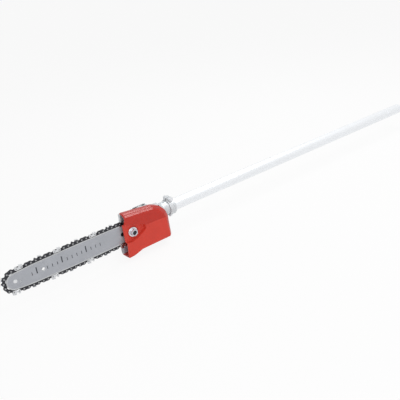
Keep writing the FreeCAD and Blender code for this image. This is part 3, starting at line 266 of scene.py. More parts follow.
# The part of a noise's range that is used, and how an edge's wear is bounded: by how far the
# rounded normal turns, and by a noise that breaks it up.
NOISE_LOW, NOISE_HIGH = 0.3, 0.7
EDGE_FROM, EDGE_TO = 0.98, 0.75
RAGGED_PER_METRE = 900.0
RAGGED = (0.38, 0.62, 0.25, 1.0)


def shade(base, factor):
    return (*(min(1.0, channel * factor) for channel in base), 1.0)


class Finish(Tree):
    """One procedural material: a shader, object coordinates and the layers put on them."""

    def __init__(self, name, base, metallic=0.0, roughness=0.5, sockets=()):
        self.material = bpy.data.materials.new(name)
        self.material.use_nodes = True
        super().__init__(self.material.node_tree)
        self.shader = self.tree.nodes["Principled BSDF"]
        self.place = self.add("ShaderNodeTexCoord").outputs["Object"]
        self.colour = shade(base, 1.0)
        self.roughness = roughness
        self.bump = None
        self.shader.inputs["Metallic"].default_value = metallic
        for socket, value in sockets:
            self.shader.inputs[socket].default_value = value

    def noise(self, per_metre, detail=3.0, stretch=(1, 1, 1)):
        place = self.add("ShaderNodeMapping", {"Vector": self.place, "Scale": stretch})
        values = {"Vector": place.outputs[0], "Scale": per_metre, "Detail": detail}
        return self.add("ShaderNodeTexNoise", values).outputs[0]

    def scaled(self, factor):
        """The colour so far times a factor."""
        if isinstance(self.colour, tuple):
            return shade(self.colour[:3], factor)
        values = {0: self.colour, "Scale": factor}
        return self.add("ShaderNodeVectorMath", values, operation="SCALE").outputs[0]

    def drift(self, low, high, per_metre, noise):
        """A value that drifts between low and high."""
        return self.span(self.noise(per_metre, **noise), NOISE_LOW, NOISE_HIGH, low, high)

    def mottle(self, per_metre, dark, light, **noise):
        """Lets the colour drift between a darker and a lighter shade."""
        share = self.drift(0.0, 1.0, per_metre, noise)
        self.colour = self.blend(share, self.scaled(dark), self.scaled(light))

    def sheen_drift(self, per_metre, smooth, rough, **noise):
        """Lets the roughness drift between two values."""
        self.roughness = self.drift(smooth, rough, per_metre, noise)

    def grain(self, per_metre, height, **noise):
        """Raises a fine grain of that height, in metres."""
        values = {"Strength": 1.0, "Distance": height, "Height": self.noise(per_metre, **noise)}
        if self.bump is not None:
            values["Normal"] = self.bump
        self.bump = self.add("ShaderNodeBump", values).outputs[0]

    def edge(self, radius):
        """A mask of the edges that rub, ragged by a noise."""
        rounded = self.add("ShaderNodeBevel", {"Radius": radius}, samples=6).outputs[0]
        flat = self.add("ShaderNodeNewGeometry").outputs["Normal"]
        turn = self.add("ShaderNodeVectorMath", {0: rounded, 1: flat}, operation="DOT_PRODUCT")
        sharp = self.span(turn.outputs["Value"], EDGE_FROM, EDGE_TO, 0.0, 1.0)
        ragged = self.span(self.noise(RAGGED_PER_METRE, **FINE), *RAGGED)
        return self.math("MULTIPLY", sharp, ragged, clamp=True)

    def worn(self, radius, tint, amount):
        """Rubs the edges towards a tint."""
        mask = self.math("MULTIPLY", self.edge(radius), amount)
        self.colour = self.blend(mask, self.colour, (*tint, 1.0))

    def done(self):
        self.feed(self.shader.inputs["Base Color"], self.colour)
        self.feed(self.shader.inputs["Roughness"], self.roughness)
        if self.bump is not None:
            self.feed(self.shader.inputs["Normal"], self.bump)
        return self.material


# Finishes


class Recipe:
    """How one finish is layered.

    mottles and drift hold (per metre, low, high, noise), grains (per metre, height, noise) and
    wear (edge radius, tint, amount). Heights and radii are metres; the noise may be left out.
    """

    def __init__(self, name, hue, metallic, mottles, drift, grains, wear, tone=1.0, sockets=()):
        self.name, self.hue, self.metallic, self.tone = name, hue, metallic, tone
        self.mottles, self.drift, self.grains = mottles, drift, grains
        self.wear, self.sockets = wear, sockets

    def make(self, colours):
        base = [self.tone * channel for channel in getattr(colours, self.hue)]
        finish = Finish(self.name, base, self.metallic, sockets=self.sockets)
        layers = [(finish.mottle, layer) for layer in self.mottles]
        layers.append((finish.sheen_drift, self.drift))
        layers += [(finish.grain, layer) for layer in self.grains]
        for lay, values in layers:
            *numbers, noise = values if isinstance(values[-1], dict) else (*values, {})
            lay(*numbers, **noise)
        if self.hue == "bar":
            print_scale(finish, colours.bar_mark)
        finish.worn(*self.wear)
        return finish.done()


# Those of the record's slots first, then three that only finished pieces use.
RECIPES = {
    "pole": Recipe(
        "pole_anodised", "pole", 0.85, ((2600.0, 0.965, 1.0, DRAWN), (14.0, 0.985, 1.0)),
        (3200.0, 0.30, 0.42, DRAWN), ((5200.0, 0.000012, DRAWN),),
        (0.0004, (0.95, 0.95, 0.96), 0.5)),
    "casting": Recipe(
        "blasted_casting", "casting", 0.55, ((160.0, 0.93, 1.03), (2400.0, 0.95, 1.02)),
        (420.0, 0.40, 0.56), ((1500.0, 0.00005, FINE), (260.0, 0.00006)),
        (0.0009, (0.86, 0.87, 0.88), 0.55)),
    "cover": Recipe(
        "moulded_red", "cover", 0.0, ((55.0, 0.95, 1.04), (900.0, 0.985, 1.015, FLOWED)),
        (120.0, 0.13, 0.2), ((2600.0, 0.000008), (130.0, 0.00002)),
        (0.0006, (0.78, 0.22, 0.19), 0.35), sockets=(("Specular IOR Level", 0.4),)),
    "bar": Recipe(
        "bar_enamel", "bar", 0.35, ((2200.0, 0.95, 1.04, GROUND), (40.0, 0.95, 1.03)),
        (700.0, 0.31, 0.44, GROUND), ((3600.0, 0.00001, GROUND),),
        (0.0005, (0.66, 0.67, 0.68), 0.7)),
    "edge_steel": Recipe(
        "ground_steel", "steel", 1.0, ((900.0, 0.86, 1.05), (60.0, 0.9, 1.02)),
        (1500.0, 0.22, 0.38), ((4200.0, 0.000012),), (0.0003, (0.8, 0.8, 0.81), 0.6)),
    "chain_dark": Recipe(
        "blued_chain", "chain", 0.85, ((420.0, 0.7, 1.35), (2400.0, 0.8, 1.2)),
        (900.0, 0.26, 0.46), ((2600.0, 0.00002),), (0.00035, (0.42, 0.41, 0.40), 0.75)),
    "cutter": Recipe(
        "chrome_cutter", "chrome", 1.0, ((700.0, 0.88, 1.04), (90.0, 0.92, 1.0)),
        (1400.0, 0.14, 0.28), ((3200.0, 0.00001),), (0.0003, (0.92, 0.92, 0.93), 0.6)),
    "zinc": Recipe(
        "bright_zinc", "zinc", 0.9, ((300.0, 0.92, 1.03), (2000.0, 0.95, 1.02)),
        (800.0, 0.22, 0.36), ((3000.0, 0.00001),), (0.0004, (0.95, 0.95, 0.95), 0.6)),
    "black_screw": Recipe(
        "black_oxide", "black_oxide", 0.6, ((600.0, 0.7, 1.4), (3000.0, 0.8, 1.2)),
        (900.0, 0.3, 0.48), ((3600.0, 0.00001),), (0.0003, (0.28, 0.28, 0.29), 0.6)),
    "tank": Recipe(
        "smoky_tank", "tank", 0.0, ((45.0, 0.96, 1.04), (1200.0, 0.985, 1.015)),
        (200.0, 0.2, 0.34), ((1800.0, 0.00001), (90.0, 0.00002)),
        (0.0006, (0.66, 0.62, 0.66), 0.4),
        sockets=(("Transmission Weight", 0.15), ("IOR", 1.49))),
    "black_plastic": Recipe(
        "grained_black", "black_plastic", 0.0, ((300.0, 0.85, 1.2),), (900.0, 0.42, 0.6),
        ((2200.0, 0.00003, FINE),), (0.0004, (0.16, 0.16, 0.17), 0.5)),
    "rubber": Recipe(
        "matt_rubber", "rubber", 0.0, ((500.0, 0.85, 1.25),), (700.0, 0.62, 0.82),
        ((3000.0, 0.00003, FINE),), (0.0004, (0.09, 0.09, 0.09), 0.4)),
    "brass": Recipe(
        "turned_brass", "brass", 1.0, ((900.0, 0.9, 1.05), (3000.0, 0.94, 1.02, TURNED)),
        (1200.0, 0.22, 0.38), ((4000.0, 0.00001, TURNED),), (0.0003, (0.85, 0.68, 0.36), 0.6)),
    "gasket": Recipe(
        "fibre_gasket", "gasket", 0.0, ((1500.0, 0.7, 1.3, FIBROUS),), (800.0, 0.7, 0.9),
        ((2400.0, 0.00004, FIBROUS),), (0.0003, (0.3, 0.34, 0.31), 0.4)),
    # The panel's lighter base colour is painted light; its rougher satin sheen is real.
    "panel": Recipe(
        "satin_red_panel", "panel", 0.0, ((55.0, 0.96, 1.04), (1400.0, 0.975, 1.025)),
        (160.0, 0.32, 0.42), ((3000.0, 0.000014, FINE), (110.0, 0.00002)),
        (0.0006, (0.8, 0.26, 0.22), 0.35), sockets=(("Specular IOR Level", 0.32),)),
    "rivet": Recipe(
        "peened_rivet", "steel", 0.95, ((900.0, 0.7, 1.2), (3000.0, 0.85, 1.1)),
        (1500.0, 0.26, 0.44), ((3600.0, 0.00001),), (0.0003, (0.6, 0.6, 0.6), 0.6), tone=0.62),
    "nut": Recipe(
        "dull_zinc_nut", "nut", 0.9, ((420.0, 0.88, 1.05), (2200.0, 0.94, 1.03)),
        (900.0, 0.24, 0.4), ((3000.0, 0.00001),), (0.0004, (0.82, 0.83, 0.85), 0.7)),
}


def finish_for(key):
    """The material of a recipe, made the first time it is asked for."""
    recipe = RECIPES[key]
    made = bpy.data.materials.get(recipe.name)
    return made or recipe.make(bpy.context.scene.pole_saw_colours)


# The bar's scale, in metres: its base line, its ends, and each row of ticks as
# (pitch, width, height).
SCALE_BASE = -0.003
SCALE_FROM = 0.0695
SCALE_TO = 0.212
TICKS = (0.010, 0.0013, 0.0065)
LONG_TICKS = (0.050, 0.0022, 0.0125)
INK_PER_METRE = 800.0
INK_RUBBED = (0.32, 0.42, 0.35, 1.0)
SCRATCH_PER_METRE = 420.0
SCRATCH_STRETCH = (0.15, 1.0, 2.6)
SCRATCH_SPAN = (0.66, 0.72, 0.0, 0.28)
SCRATCH_TINT = (0.5, 0.52, 0.55, 1.0)


def print_scale(finish, mark):
    """Light scratches and a plain depth scale: a tick each ten millimetres, each fifth longer."""
    scratch = finish.noise(SCRATCH_PER_METRE, detail=2.0, stretch=SCRATCH_STRETCH)
    fine = finish.span(scratch, *SCRATCH_SPAN)
    finish.colour = finish.blend(fine, finish.colour, SCRATCH_TINT)
    x, _, z = finish.add("ShaderNodeSeparateXYZ", {0: finish.place}).outputs
    along = finish.math("SUBTRACT", STUD_X, x)

    def within(value, low, high):
        above = finish.math("GREATER_THAN", value, low)
        return finish.math("MULTIPLY", above, finish.math("LESS_THAN", value, high))

    def ticks(pitch, width, height):
        step = finish.math("FRACT", finish.math("DIVIDE", along, pitch))
        line = finish.math("LESS_THAN", step, width / pitch)
        return finish.math("MULTIPLY", line, within(z, SCALE_BASE, SCALE_BASE + height))

    marks = finish.math("MAXIMUM", ticks(*TICKS), ticks(*LONG_TICKS))
    rubbed = finish.span(finish.noise(INK_PER_METRE, **FINE), *INK_RUBBED)
    ink = finish.math("MULTIPLY", marks, within(along, SCALE_FROM, SCALE_TO))
    ink = finish.math("MULTIPLY", ink, rubbed)
    finish.colour = finish.blend(ink, finish.colour, (*mark, 1.0))


# Meshes


def add_object(name, data):
    made = bpy.data.objects.new(name, data)
    bpy.context.scene.collection.objects.link(made)
    return made


def piece_from(name, points, faces, *keys):
    """A new piece whose points are in metres, with a finish for each key."""
    mesh = bpy.data.meshes.new(name)
    mesh.from_pydata([tuple(point) for point in points], [], faces)
    mesh.update()
    for key in keys:
        mesh.materials.append(finish_for(key))
    return add_object(name, mesh)


def paint(piece, key):
    """Gives the whole piece one finish."""
    mesh = piece.data
    mesh.materials.clear()
    mesh.materials.append(finish_for(key))
    mesh.polygons.foreach_set("material_index", [0] * len(mesh.polygons))
    return piece


def settle(piece):
    """Puts what the piece's modifiers make into its own mesh and takes them off."""
    graph = bpy.context.evaluated_depsgraph_get()
    made = bpy.data.meshes.new_from_object(piece.evaluated_get(graph), depsgraph=graph)
    piece.modifiers.clear()
    spare = piece.data
    piece.data = made
    made.name = piece.name
    bpy.data.meshes.remove(spare)
    return piece


def soften(piece, angle=35.0):
    """Smooth shading, with the edges sharper than the angle left crisp."""
    piece.data.shade_smooth()
    piece.data.set_sharp_from_angle(angle=math.radians(angle))
    return piece


def opened(mesh, merge=0.0):
    """The mesh as a BMesh, with the points closer than merge metres joined."""
    work = bmesh.new()
    work.from_mesh(mesh)
    if merge:
        bmesh.ops.remove_doubles(work, verts=work.verts, dist=merge)
    return work


def put_back(work, mesh):
    work.to_mesh(mesh)
    work.free()


def merged_copy(name, node, key):
    """A copy of a node's mesh with its loose triangles joined."""
    piece = add_object(name, bpy.data.meshes.new(name))
    put_back(opened(frame["nodes"][node].data, NODE_MERGE), piece.data)
    return paint(piece, key)


def hand_over(piece, body, slot, *nodes):
    """Rides the piece on its body and lets it stand for its nodes."""
    if not piece.data.polygons:
        raise RuntimeError(f"{piece.name} has no faces")
    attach(piece, body)
    if nodes:
        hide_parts(*nodes)
    return piece


def ring(sides):
    """The directions round a circle."""
    turns = (2 * math.pi * side / sides for side in range(sides))
    return [(math.cos(turn), math.sin(turn)) for turn in turns]


def strips(rows):
    """Faces between neighbouring rows that run all the way round; a lone point is a tip."""
    faces = []
    for first, second in zip(rows, rows[1:]):
        sides = max(len(first), len(second))
        for side in range(sides):
            after = (side + 1) % sides
            if len(first) == 1:
                faces.append((first[0], second[after], second[side]))
            elif len(second) == 1:
                faces.append((first[side], first[after], second[0]))
            else:
                faces.append((first[side], first[after], second[after], second[side]))
    return faces


def turned(profile, centre, axis, sides):
    """Points and faces of a shape turned round an axis through centre.

    The profile is (distance along the axis, radius) in millimetres; radius 0 is a tip.
    """
    points, rows = [], []
    spin = ALONG_Z.rotation_difference(axis).to_matrix()
    for along, radius in profile:
        first = len(points)
        for across, up in ring(sides) if radius > 0 else [(0, 0)]:
            points.append(centre + spin @ (Vector((across * radius, up * radius, along)) * MM))
        rows.append(range(first, len(points)))
    return points, strips(rows)


def wound(rows, centre, closed):
    """Points and faces of rows that run round an axis along Y through centre.

    Each row lists (radius, distance along the axis) in millimetres, one for each side.
    """
    points, sides = [], len(rows[0])
    for row in rows:
        for (across, up), (radius, along) in zip(ring(sides), row):
            points.append(centre + Vector((across * radius, along, up * radius)) * MM)
    loops = [range(first, first + sides) for first in range(0, len(points), sides)]
    faces = strips(loops + loops[:1] if closed else loops)
    return points, faces if closed else faces + [tuple(loops[0]), tuple(loops[-1])]


def outward(piece):
    """Merges the piece's doubles and turns its faces outwards."""
    work = opened(piece.data, PIECE_MERGE)
    bmesh.ops.recalc_face_normals(work, faces=work.faces)
    put_back(work, piece.data)
    return piece


# Geometry Nodes: one tree that puts a part on every spot


def placing_tree():
    """Instance on Points, turned by the points' own turn, made real and given a material."""
    if "place_parts" in bpy.data.node_groups:
        return bpy.data.node_groups["place_parts"]
    group = bpy.data.node_groups.new("place_parts", "GeometryNodeTree")
    for name, kind, way in (
        ("Geometry", "NodeSocketGeometry", "INPUT"),
        ("Part", "NodeSocketObject", "INPUT"),
        ("Size", "NodeSocketFloat", "INPUT"),
        ("Material", "NodeSocketMaterial", "INPUT"),
        ("Geometry", "NodeSocketGeometry", "OUTPUT"),
    ):
        group.interface.new_socket(name, socket_type=kind, in_out=way)
    tree = Tree(group)
    given = tree.add("NodeGroupInput").outputs
    part = tree.add("GeometryNodeObjectInfo", {"Object": given["Part"]},
                    transform_space="ORIGINAL")
    turn = tree.add("GeometryNodeInputNamedAttribute", {"Name": "turn"},
                    data_type="FLOAT_VECTOR")
    place = tree.add("GeometryNodeInstanceOnPoints", {
        "Points": given["Geometry"], "Instance": part.outputs["Geometry"],
        "Rotation": turn.outputs[0], "Scale": given["Size"],
    })
    real = tree.add("GeometryNodeRealizeInstances", {0: place.outputs[0]})
    painted = tree.add("GeometryNodeSetMaterial", {
        "Geometry": real.outputs[0], "Material": given["Material"],
    })
    tree.add("NodeGroupOutput", {0: painted.outputs[0]})
    return group


def socket_id(group, name):
    for item in group.interface.items_tree:
        if item.item_type == "SOCKET" and item.in_out == "INPUT" and item.name == name:
            return item.identifier
    raise KeyError(name)


def place_parts(name, part, spots, turns, key):
    """A plain mesh with a copy of the part on each spot. The part itself is taken away."""
    piece = piece_from(name, spots, [])
    spin = piece.data.attributes.new("turn", "FLOAT_VECTOR", "POINT")
    spin.data.foreach_set("vector", [value for turn in turns for value in turn])
    group = placing_tree()
    modifier = piece.modifiers.new("place", "NODES")
    modifier.node_group = group
    for socket, value in (("Part", part), ("Size", 1.0), ("Material", finish_for(key))):
        modifier[socket_id(group, socket)] = value
    paint(settle(piece), key)
    mesh = part.data
    bpy.data.objects.remove(part)
    bpy.data.meshes.remove(mesh)
    return piece


# Outlines


SIDE_PITCH = 2.5


def between(first, second, parts):
    """The points that part the way from first to second."""
    return [first.lerp(second, step / parts) for step in range(1, parts)]


def rounded_outline(corners, arc_steps, side_steps=None):
    """Points along a line through rounded corners (x, z, radius).

    Every corner gives arc_steps + 1 points; side_steps lists how many parts each side has.
    """
    line = []
    for index, (x, z, radius) in enumerate(corners):
        here = Vector((x, z))
        before = (Vector(corners[index - 1][:2]) - here).normalized()
        after = (Vector(corners[(index + 1) % len(corners)][:2]) - here).normalized()
        half = before.angle(after) / 2
        reach = radius / math.tan(half)
        centre = here + (before + after).normalized() * (radius / math.sin(half))
        first = here + before * reach - centre
        swing = first.angle_signed(here + after * reach - centre)
        turns = [Matrix.Rotation(-swing * step / arc_steps, 2) for step in range(arc_steps + 1)]
        arc = [centre + turn @ first for turn in turns]
        if line:
            parts = max(1, round((arc[0] - line[-1]).length / SIDE_PITCH))
            line += between(line[-1], arc[0], side_steps[index - 1] if side_steps else parts)
        line += arc
    return line


# The sprocket cover


RIM_CORNERS = (
    (-14, 42.4, 3), (58, 34.6, 34), (73.5, 27.5, 26), (84, 16, 22), (89.2, 1, 20),
    (88, -39.6, 4), (10, -40.8, 7), (-9, -47, 6), (-24, -48, 2),
)
FACE_CORNERS = (
    (-17, 37.6, 3), (54, 30.4, 16), (66, 23.4, 14), (73.5, 13, 12), (77.2, 2, 10),
    (81, -40, 3), (11, -40.6, 7), (-9, -46.4, 6), (-23.4, -47.4, 2),
)
SIDE_STEPS = (24, 4, 4, 4, 12, 24, 6, 5)
CORNER_STEPS = 7
WALL_ROWS = (
    (-25.0, 0.0), (-30.0, 0.01), (-35.0, 0.02), (-35.9, 0.03), (-36.3, 0.06), (-37.2, 0.18),
    (-38.2, 0.31), (-38.7, 0.375), (-39.1, 0.40), (-39.6, 0.41), (-41.2, 0.425), (-43.0, 0.44),
    (-43.6, 0.45), (-44.0, 0.48), (-45.0, 0.61), (-46.0, 0.745), (-46.8, 0.85), (-47.3, 0.905),
    (-47.7, 0.955), (-47.95, 0.99), (-48.0, 1.0),
)
PAD_CORNERS = (
    (-19.6, 24.2, 0.1), (-16, 23.5, 5), (27, 8.7, 4.5), (27.4, -2, 5), (7.5, -13.4, 8),
    (-9, -18.3, 4), (-20.4, -17.2, 0.1),
)
PAD_STEPS = 6
PAD_ROWS = ((0.0, 0.0), (0.45, 0.05), (1.0, 0.28), (1.7, 0.72), (2.3, 0.95), (2.8, 1.0))
FACE_PLANE = -48.0
RIM_PLANE = -25.0
PAD_FRONT = -36.0
MOUTH_PARTS, TAIL_PARTS, HEAD_PARTS = 14, 11, 5
MOUTH_MARGIN = 4.0
CREASE_START = 30.0
CREASE_FRONT = (-16.8, 23.4)
CREASE_FROM = 29.5
CREASE_PITCH = 2.5
CREASE_POINTS = 19
CIRCLE_SIDES = 56
SEAT_DEPTH = 0.6
GRID_FROM = (-24.0, -47.0)
GRID_TO = (82.0, 38.0)
ROW_STEP = 0.866
CLEARANCE = 0.55
EASE_ROUNDS = 14


def inset(line, distance):
    """The line moved to its right by a distance, for a line walked clockwise."""
    moved = []
    for index, point in enumerate(line):
        before = line[max(index - 1, 0)]
        after = line[min(index + 1, len(line) - 1)]
        run = (after - before).normalized()
        moved.append(point + Vector((run.y, -run.x)) * distance)
    return moved


def inside(point, line):
    """True if the point is inside the closed line."""
    hit = False
    for index, first in enumerate(line):
        second = line[index - 1]
        if (first.y > point.y) != (second.y > point.y):
            share = (point.y - first.y) / (second.y - first.y)
            if point.x < first.x + share * (second.x - first.x):
                hit = not hit
    return hit


def crease_height(sizes, x):
    """The height of the line where the upper band starts to lean back."""
    if x >= CREASE_START:
        return sizes.crease_height - (x - CREASE_START) * sizes.crease_fall
    front_x, front_z = CREASE_FRONT
    share = (CREASE_START - x) / (CREASE_START - front_x)
    return sizes.crease_height + share * (front_z - sizes.crease_height)


def face_depth(sizes, point):
    """How far back of the lowest face a point of the face lies."""
    above = point.y - crease_height(sizes, point.x)
    return max(0.0, above) * sizes.band_slope


def pad_line():
    """The sunk pad's edge, from the mouth's upper end round to its lower end."""
    return rounded_outline(PAD_CORNERS, PAD_STEPS)[PAD_STEPS:-PAD_STEPS]


def recess_circles(sizes):
    """Radius and depth of each circle of the washer's recess: its lip, its seat, the hole."""
    radius, pad = sizes.recess_radius, sizes.pad_depth
    lip, seat = pad - sizes.recess_depth, pad + SEAT_DEPTH
    return (
        (radius + 0.9, pad), (radius + 0.45, lip - 0.35), (radius, lip - 0.1),
        (radius - 0.4, seat - 0.05), (radius - 1.0, seat), (sizes.hole_radius, seat),
    )


def grid_spots(sizes, outline, taken):
    """Staggered points inside the outline, clear of the points taken and of the recess."""
    inner, outer = sizes.recess_radius - 1.4, sizes.recess_radius + 1.2
    apart, shift, z = CLEARANCE * sizes.mesh_pitch, 0.0, GRID_FROM[1]
    while z < GRID_TO[1]:
        x = GRID_FROM[0] + shift
        while x < GRID_TO[0]:
            spot = Vector((x, z))
            free = inside(spot, outline) and not inner <= spot.length <= outer
            if free and min((spot - near).length for near in taken) > apart:
                yield spot
            x += sizes.mesh_pitch
        z += sizes.mesh_pitch * ROW_STEP
        shift = sizes.mesh_pitch / 2 - shift


def cover_face(sizes, border):
    """Points and triangles of the cover's face, with its sunk pad and washer recess."""
    spots, depths, lines = [], [], []

    def add_line(line, line_depths, closed=False):
        first = len(spots)
        spots.extend(line)
        depths.extend(line_depths)
        run = list(range(first, len(spots)))
        lines.extend(zip(run, run[1:]))
        if closed:
            lines.append((run[-1], run[0]))
        return run

    def sunk_depth(spot, share):
        shallow = face_depth(sizes, spot)
        return shallow + (sizes.pad_depth - shallow) * share

    pad = pad_line()
    rows = [(inset(pad, step), share) for step, share in PAD_ROWS]
    lower = [(line[-1], share) for line, share in rows]
    upper = [(line[0], share) for line, share in reversed(rows)]
    front = between(lower[-1][0], upper[0][0], MOUTH_PARTS)
    mouth = lower + [(spot, 1.0) for spot in front] + upper
    tail_gap = between(border[-1], mouth[0][0], TAIL_PARTS)
    head_gap = between(mouth[-1][0], border[0], HEAD_PARTS)
    outline = list(border) + tail_gap + [spot for spot, _ in mouth] + head_gap
    outline_depths = [face_depth(sizes, spot) for spot in border] + [0.0] * len(tail_gap)
    outline_depths += [sunk_depth(spot, share) for spot, share in mouth]
    outline_depths += [face_depth(sizes, spot) for spot in head_gap]
    add_line(outline, outline_depths, closed=True)
    first_end = len(border) + len(tail_gap)
    last_start = first_end + len(mouth) - 1
    for number, (line, share) in enumerate(rows):
        run = add_line(line[1:-1], [sunk_depth(spot, share) for spot in line[1:-1]])
        lines += [(first_end + number, run[-1]), (last_start - number, run[0])]
    for radius, depth in recess_circles(sizes):
        circle = [Vector(spot) * radius for spot in ring(CIRCLE_SIDES)]
        add_line(circle, [depth] * CIRCLE_SIDES, closed=True)
    stations = (CREASE_FROM + CREASE_PITCH * step for step in range(CREASE_POINTS))
    crease = [Vector((x, crease_height(sizes, x))) for x in stations]
    add_line(crease, [0.0] * len(crease))
    for spot in list(grid_spots(sizes, outline, list(spots))):
        spots.append(spot)
        if spot.length < sizes.recess_radius:
            depths.append(sizes.pad_depth + SEAT_DEPTH)
        elif inside(spot, pad):
            depths.append(sizes.pad_depth)
        else:
            depths.append(face_depth(sizes, spot))
    edge = list(range(len(outline)))
    made, _, triangles, origins, _, _ = delaunay_2d_cdt(spots, lines, [edge], 1, 0.00001)
    heights = [depths[source[0]] if source else 0.0 for source in origins]
    kept = [triangle for triangle in triangles
            if middle_of(made, triangle).length > sizes.hole_radius]
    return made, heights, kept


def middle_of(spots, corners):
    return sum((spots[corner] for corner in corners), Vector((0, 0))) / 3


def build_cover(sizes):
    """The cover's outer skin, lofted from its rim to its face, and then given its wall."""
    rim = rounded_outline(RIM_CORNERS, CORNER_STEPS, SIDE_STEPS)
    face = rounded_outline(FACE_CORNERS, CORNER_STEPS, SIDE_STEPS)
    points, faces, rows = [], [], []
    for plane, share in WALL_ROWS[:-1]:
        rise = (RIM_PLANE - plane) / (RIM_PLANE - FACE_PLANE)
        rows.append(range(len(points), len(points) + len(face)))
        for low, high in zip(rim, face):
            spot = low.lerp(high, share)
            front = FACE_PLANE + face_depth(sizes, high)
            points.append(at(spot.x, RIM_PLANE + (front - RIM_PLANE) * rise, spot.y))
    spots, depths, triangles = cover_face(sizes, face)
    first = len(points)
    points += [at(spot.x, FACE_PLANE + depth, spot.y) for spot, depth in zip(spots, depths)]
    near = KDTree(len(spots))
    for number, spot in enumerate(spots):
        near.insert((*spot, 0.0), number)
    near.balance()
    rows.append([first + near.find((*high, 0.0))[1] for high in face])
    for lower, upper in zip(rows, rows[1:]):
        for side in range(len(lower) - 1):
            faces.append((lower[side], upper[side], upper[side + 1], lower[side + 1]))
    walls = len(faces)
    faces += [tuple(first + corner for corner in triangle) for triangle in triangles]
    piece = piece_from("cover_shell", points, faces, "cover", "panel")
    pad = pad_line()
    # Faces below the crease and on the sunk pad take the panel's lighter red, which is painted
    # light.
    for polygon, triangle in zip(piece.data.polygons[walls:], triangles):
        centre = middle_of(spots, triangle)
        low = centre.y < crease_height(sizes, centre.x)
        polygon.material_index = 1 if low or inside(centre, pad) else 0
    outward_sheet(piece)
    give_wall(piece, sizes.wall * MM)
    return soften(piece, 50.0)


def outward_sheet(piece):
    """Turns an open shell's faces to the side away from its hollow."""
    work = opened(piece.data, NODE_MERGE)
    bmesh.ops.recalc_face_normals(work, faces=work.faces)
    if sum(face.normal.y * face.calc_area() for face in work.faces) > 0:
        bmesh.ops.reverse_faces(work, faces=work.faces)
    put_back(work, piece.data)


def give_wall(piece, thickness):
    """Closes an open sheet with an inner skin, eased where bends are tighter than the wall."""
    work = opened(piece.data)
    work.normal_update()
    skin = list(work.verts)
    inwards = {corner: -corner.normal for corner in skin}
    lowest = (PAD_CORNERS[-1][1] - MOUTH_MARGIN) * MM
    highest = (PAD_CORNERS[0][1] + MOUTH_MARGIN) * MM
    mouth = [corner for corner in skin if corner.is_boundary and corner.co.x < STUD_X
             and lowest < corner.co.z < highest and corner.co.y < PAD_FRONT * MM]
    for _ in range(EASE_ROUNDS):
        inwards.update((corner, ALONG_Y) for corner in mouth)
        eased = {}
        for corner in skin:
            near = [inwards[edge.other_vert(corner)] for edge in corner.link_edges]
            eased[corner] = sum(near, inwards[corner]) / (len(near) + 1)
        inwards = eased
    inwards.update((corner, ALONG_Y) for corner in mouth)
    rim = [edge.link_loops[0] for edge in work.edges if edge.is_boundary]
    rim = [(loop.vert, loop.link_loop_next.vert, loop.face.material_index) for loop in rim]
    outer = list(work.faces)
    twins = {corner: work.verts.new(corner.co + inwards[corner] * thickness) for corner in skin}
    for face in outer:
        inner = work.faces.new([twins[corner] for corner in reversed(face.verts)])
        inner.material_index = face.material_index
    for first, second, finish in rim:
        side = work.faces.new((second, first, twins[first], twins[second]))
        side.material_index = finish
    put_back(work, piece.data)


class PoleSawOperator:
    """What the pole saw's operators share."""

    bl_options = {"REGISTER", "UNDO"}


class POLESAW_OT_cover(PoleSawOperator, bpy.types.Operator):
    """Build the sprocket cover: stepped shoulders, crease, sunk nut pad, washer recess"""

    bl_idname = "polesaw.cover"
    bl_label = "Sprocket Cover"

    def execute(self, context):
        shell = build_cover(in_millimetres(context.scene.pole_saw_cover))
        hand_over(shell, "cover", "cover", "sprocket_cover")
        return {"FINISHED"}


# Cast pieces


FACE_LIMIT = 180000
CAST_ROUNDS = 3
TANK_ROUNDS = 6
CASTINGS = (
    ("gearcase_cast", "gearcase", 1.0), ("cap_cast", "gearcase_cap", 0.6),
    ("clamp_cast", "clamp_ring", 0.6),
)


def cast_skin(name, node, slot, voxel, smoothing):
    """A copy of a node with the softly rounded edges of a casting."""
    piece = merged_copy(name, node, slot)
    skin = piece.modifiers.new("skin", "REMESH")
    skin.mode = "VOXEL"
    skin.voxel_size = voxel * MM
    ease = piece.modifiers.new("ease", "SMOOTH")
    ease.factor = 0.5
    ease.iterations = smoothing
    settle(piece)
    faces = len(piece.data.polygons) * 2
    if faces > FACE_LIMIT:
        thin = piece.modifiers.new("thin", "DECIMATE")
        thin.ratio = FACE_LIMIT / faces
        settle(piece)
    piece.data.shade_smooth()
    return paint(piece, slot)


class POLESAW_OT_castings(PoleSawOperator, bpy.types.Operator):
    """Build the gearcase, its far cap and the clamp ring as blasted castings"""

    bl_idname = "polesaw.castings"
    bl_label = "Castings"

    def execute(self, context):
        sizes = in_millimetres(context.scene.pole_saw_small)
        for name, node, fineness in CASTINGS:
            casting = cast_skin(name, node, "casting", sizes.skin_voxel * fineness,
                                CAST_ROUNDS)
            hand_over(casting, "head", "casting", node)
        return {"FINISHED"}


class POLESAW_OT_tank(PoleSawOperator, bpy.types.Operator):
    """Build the smoky oil tank with blown, rounded edges"""

    bl_idname = "polesaw.tank"
    bl_label = "Oil Tank"

    def execute(self, context):
        sizes = in_millimetres(context.scene.pole_saw_small)
        tank = cast_skin("tank_shell", "oil_tank", "tank", sizes.tank_voxel, TANK_ROUNDS)
        hand_over(tank, "head", "tank", "oil_tank")
        return {"FINISHED"}


# The guide bar


# How squarely a face looks sideways when it is a flat, and when it is an edge.
FLAT_FACING = 0.99
EDGE_FACING = 0.5


def connected(items, neighbours):
    """The items in groups that hang together."""
    left = dict.fromkeys(items)
    while left:
        group = [next(iter(left))]
        del left[group[0]]
        for item in group:
            for other in neighbours(item):
                if other in left:
                    del left[other]
                    group.append(other)
        yield group


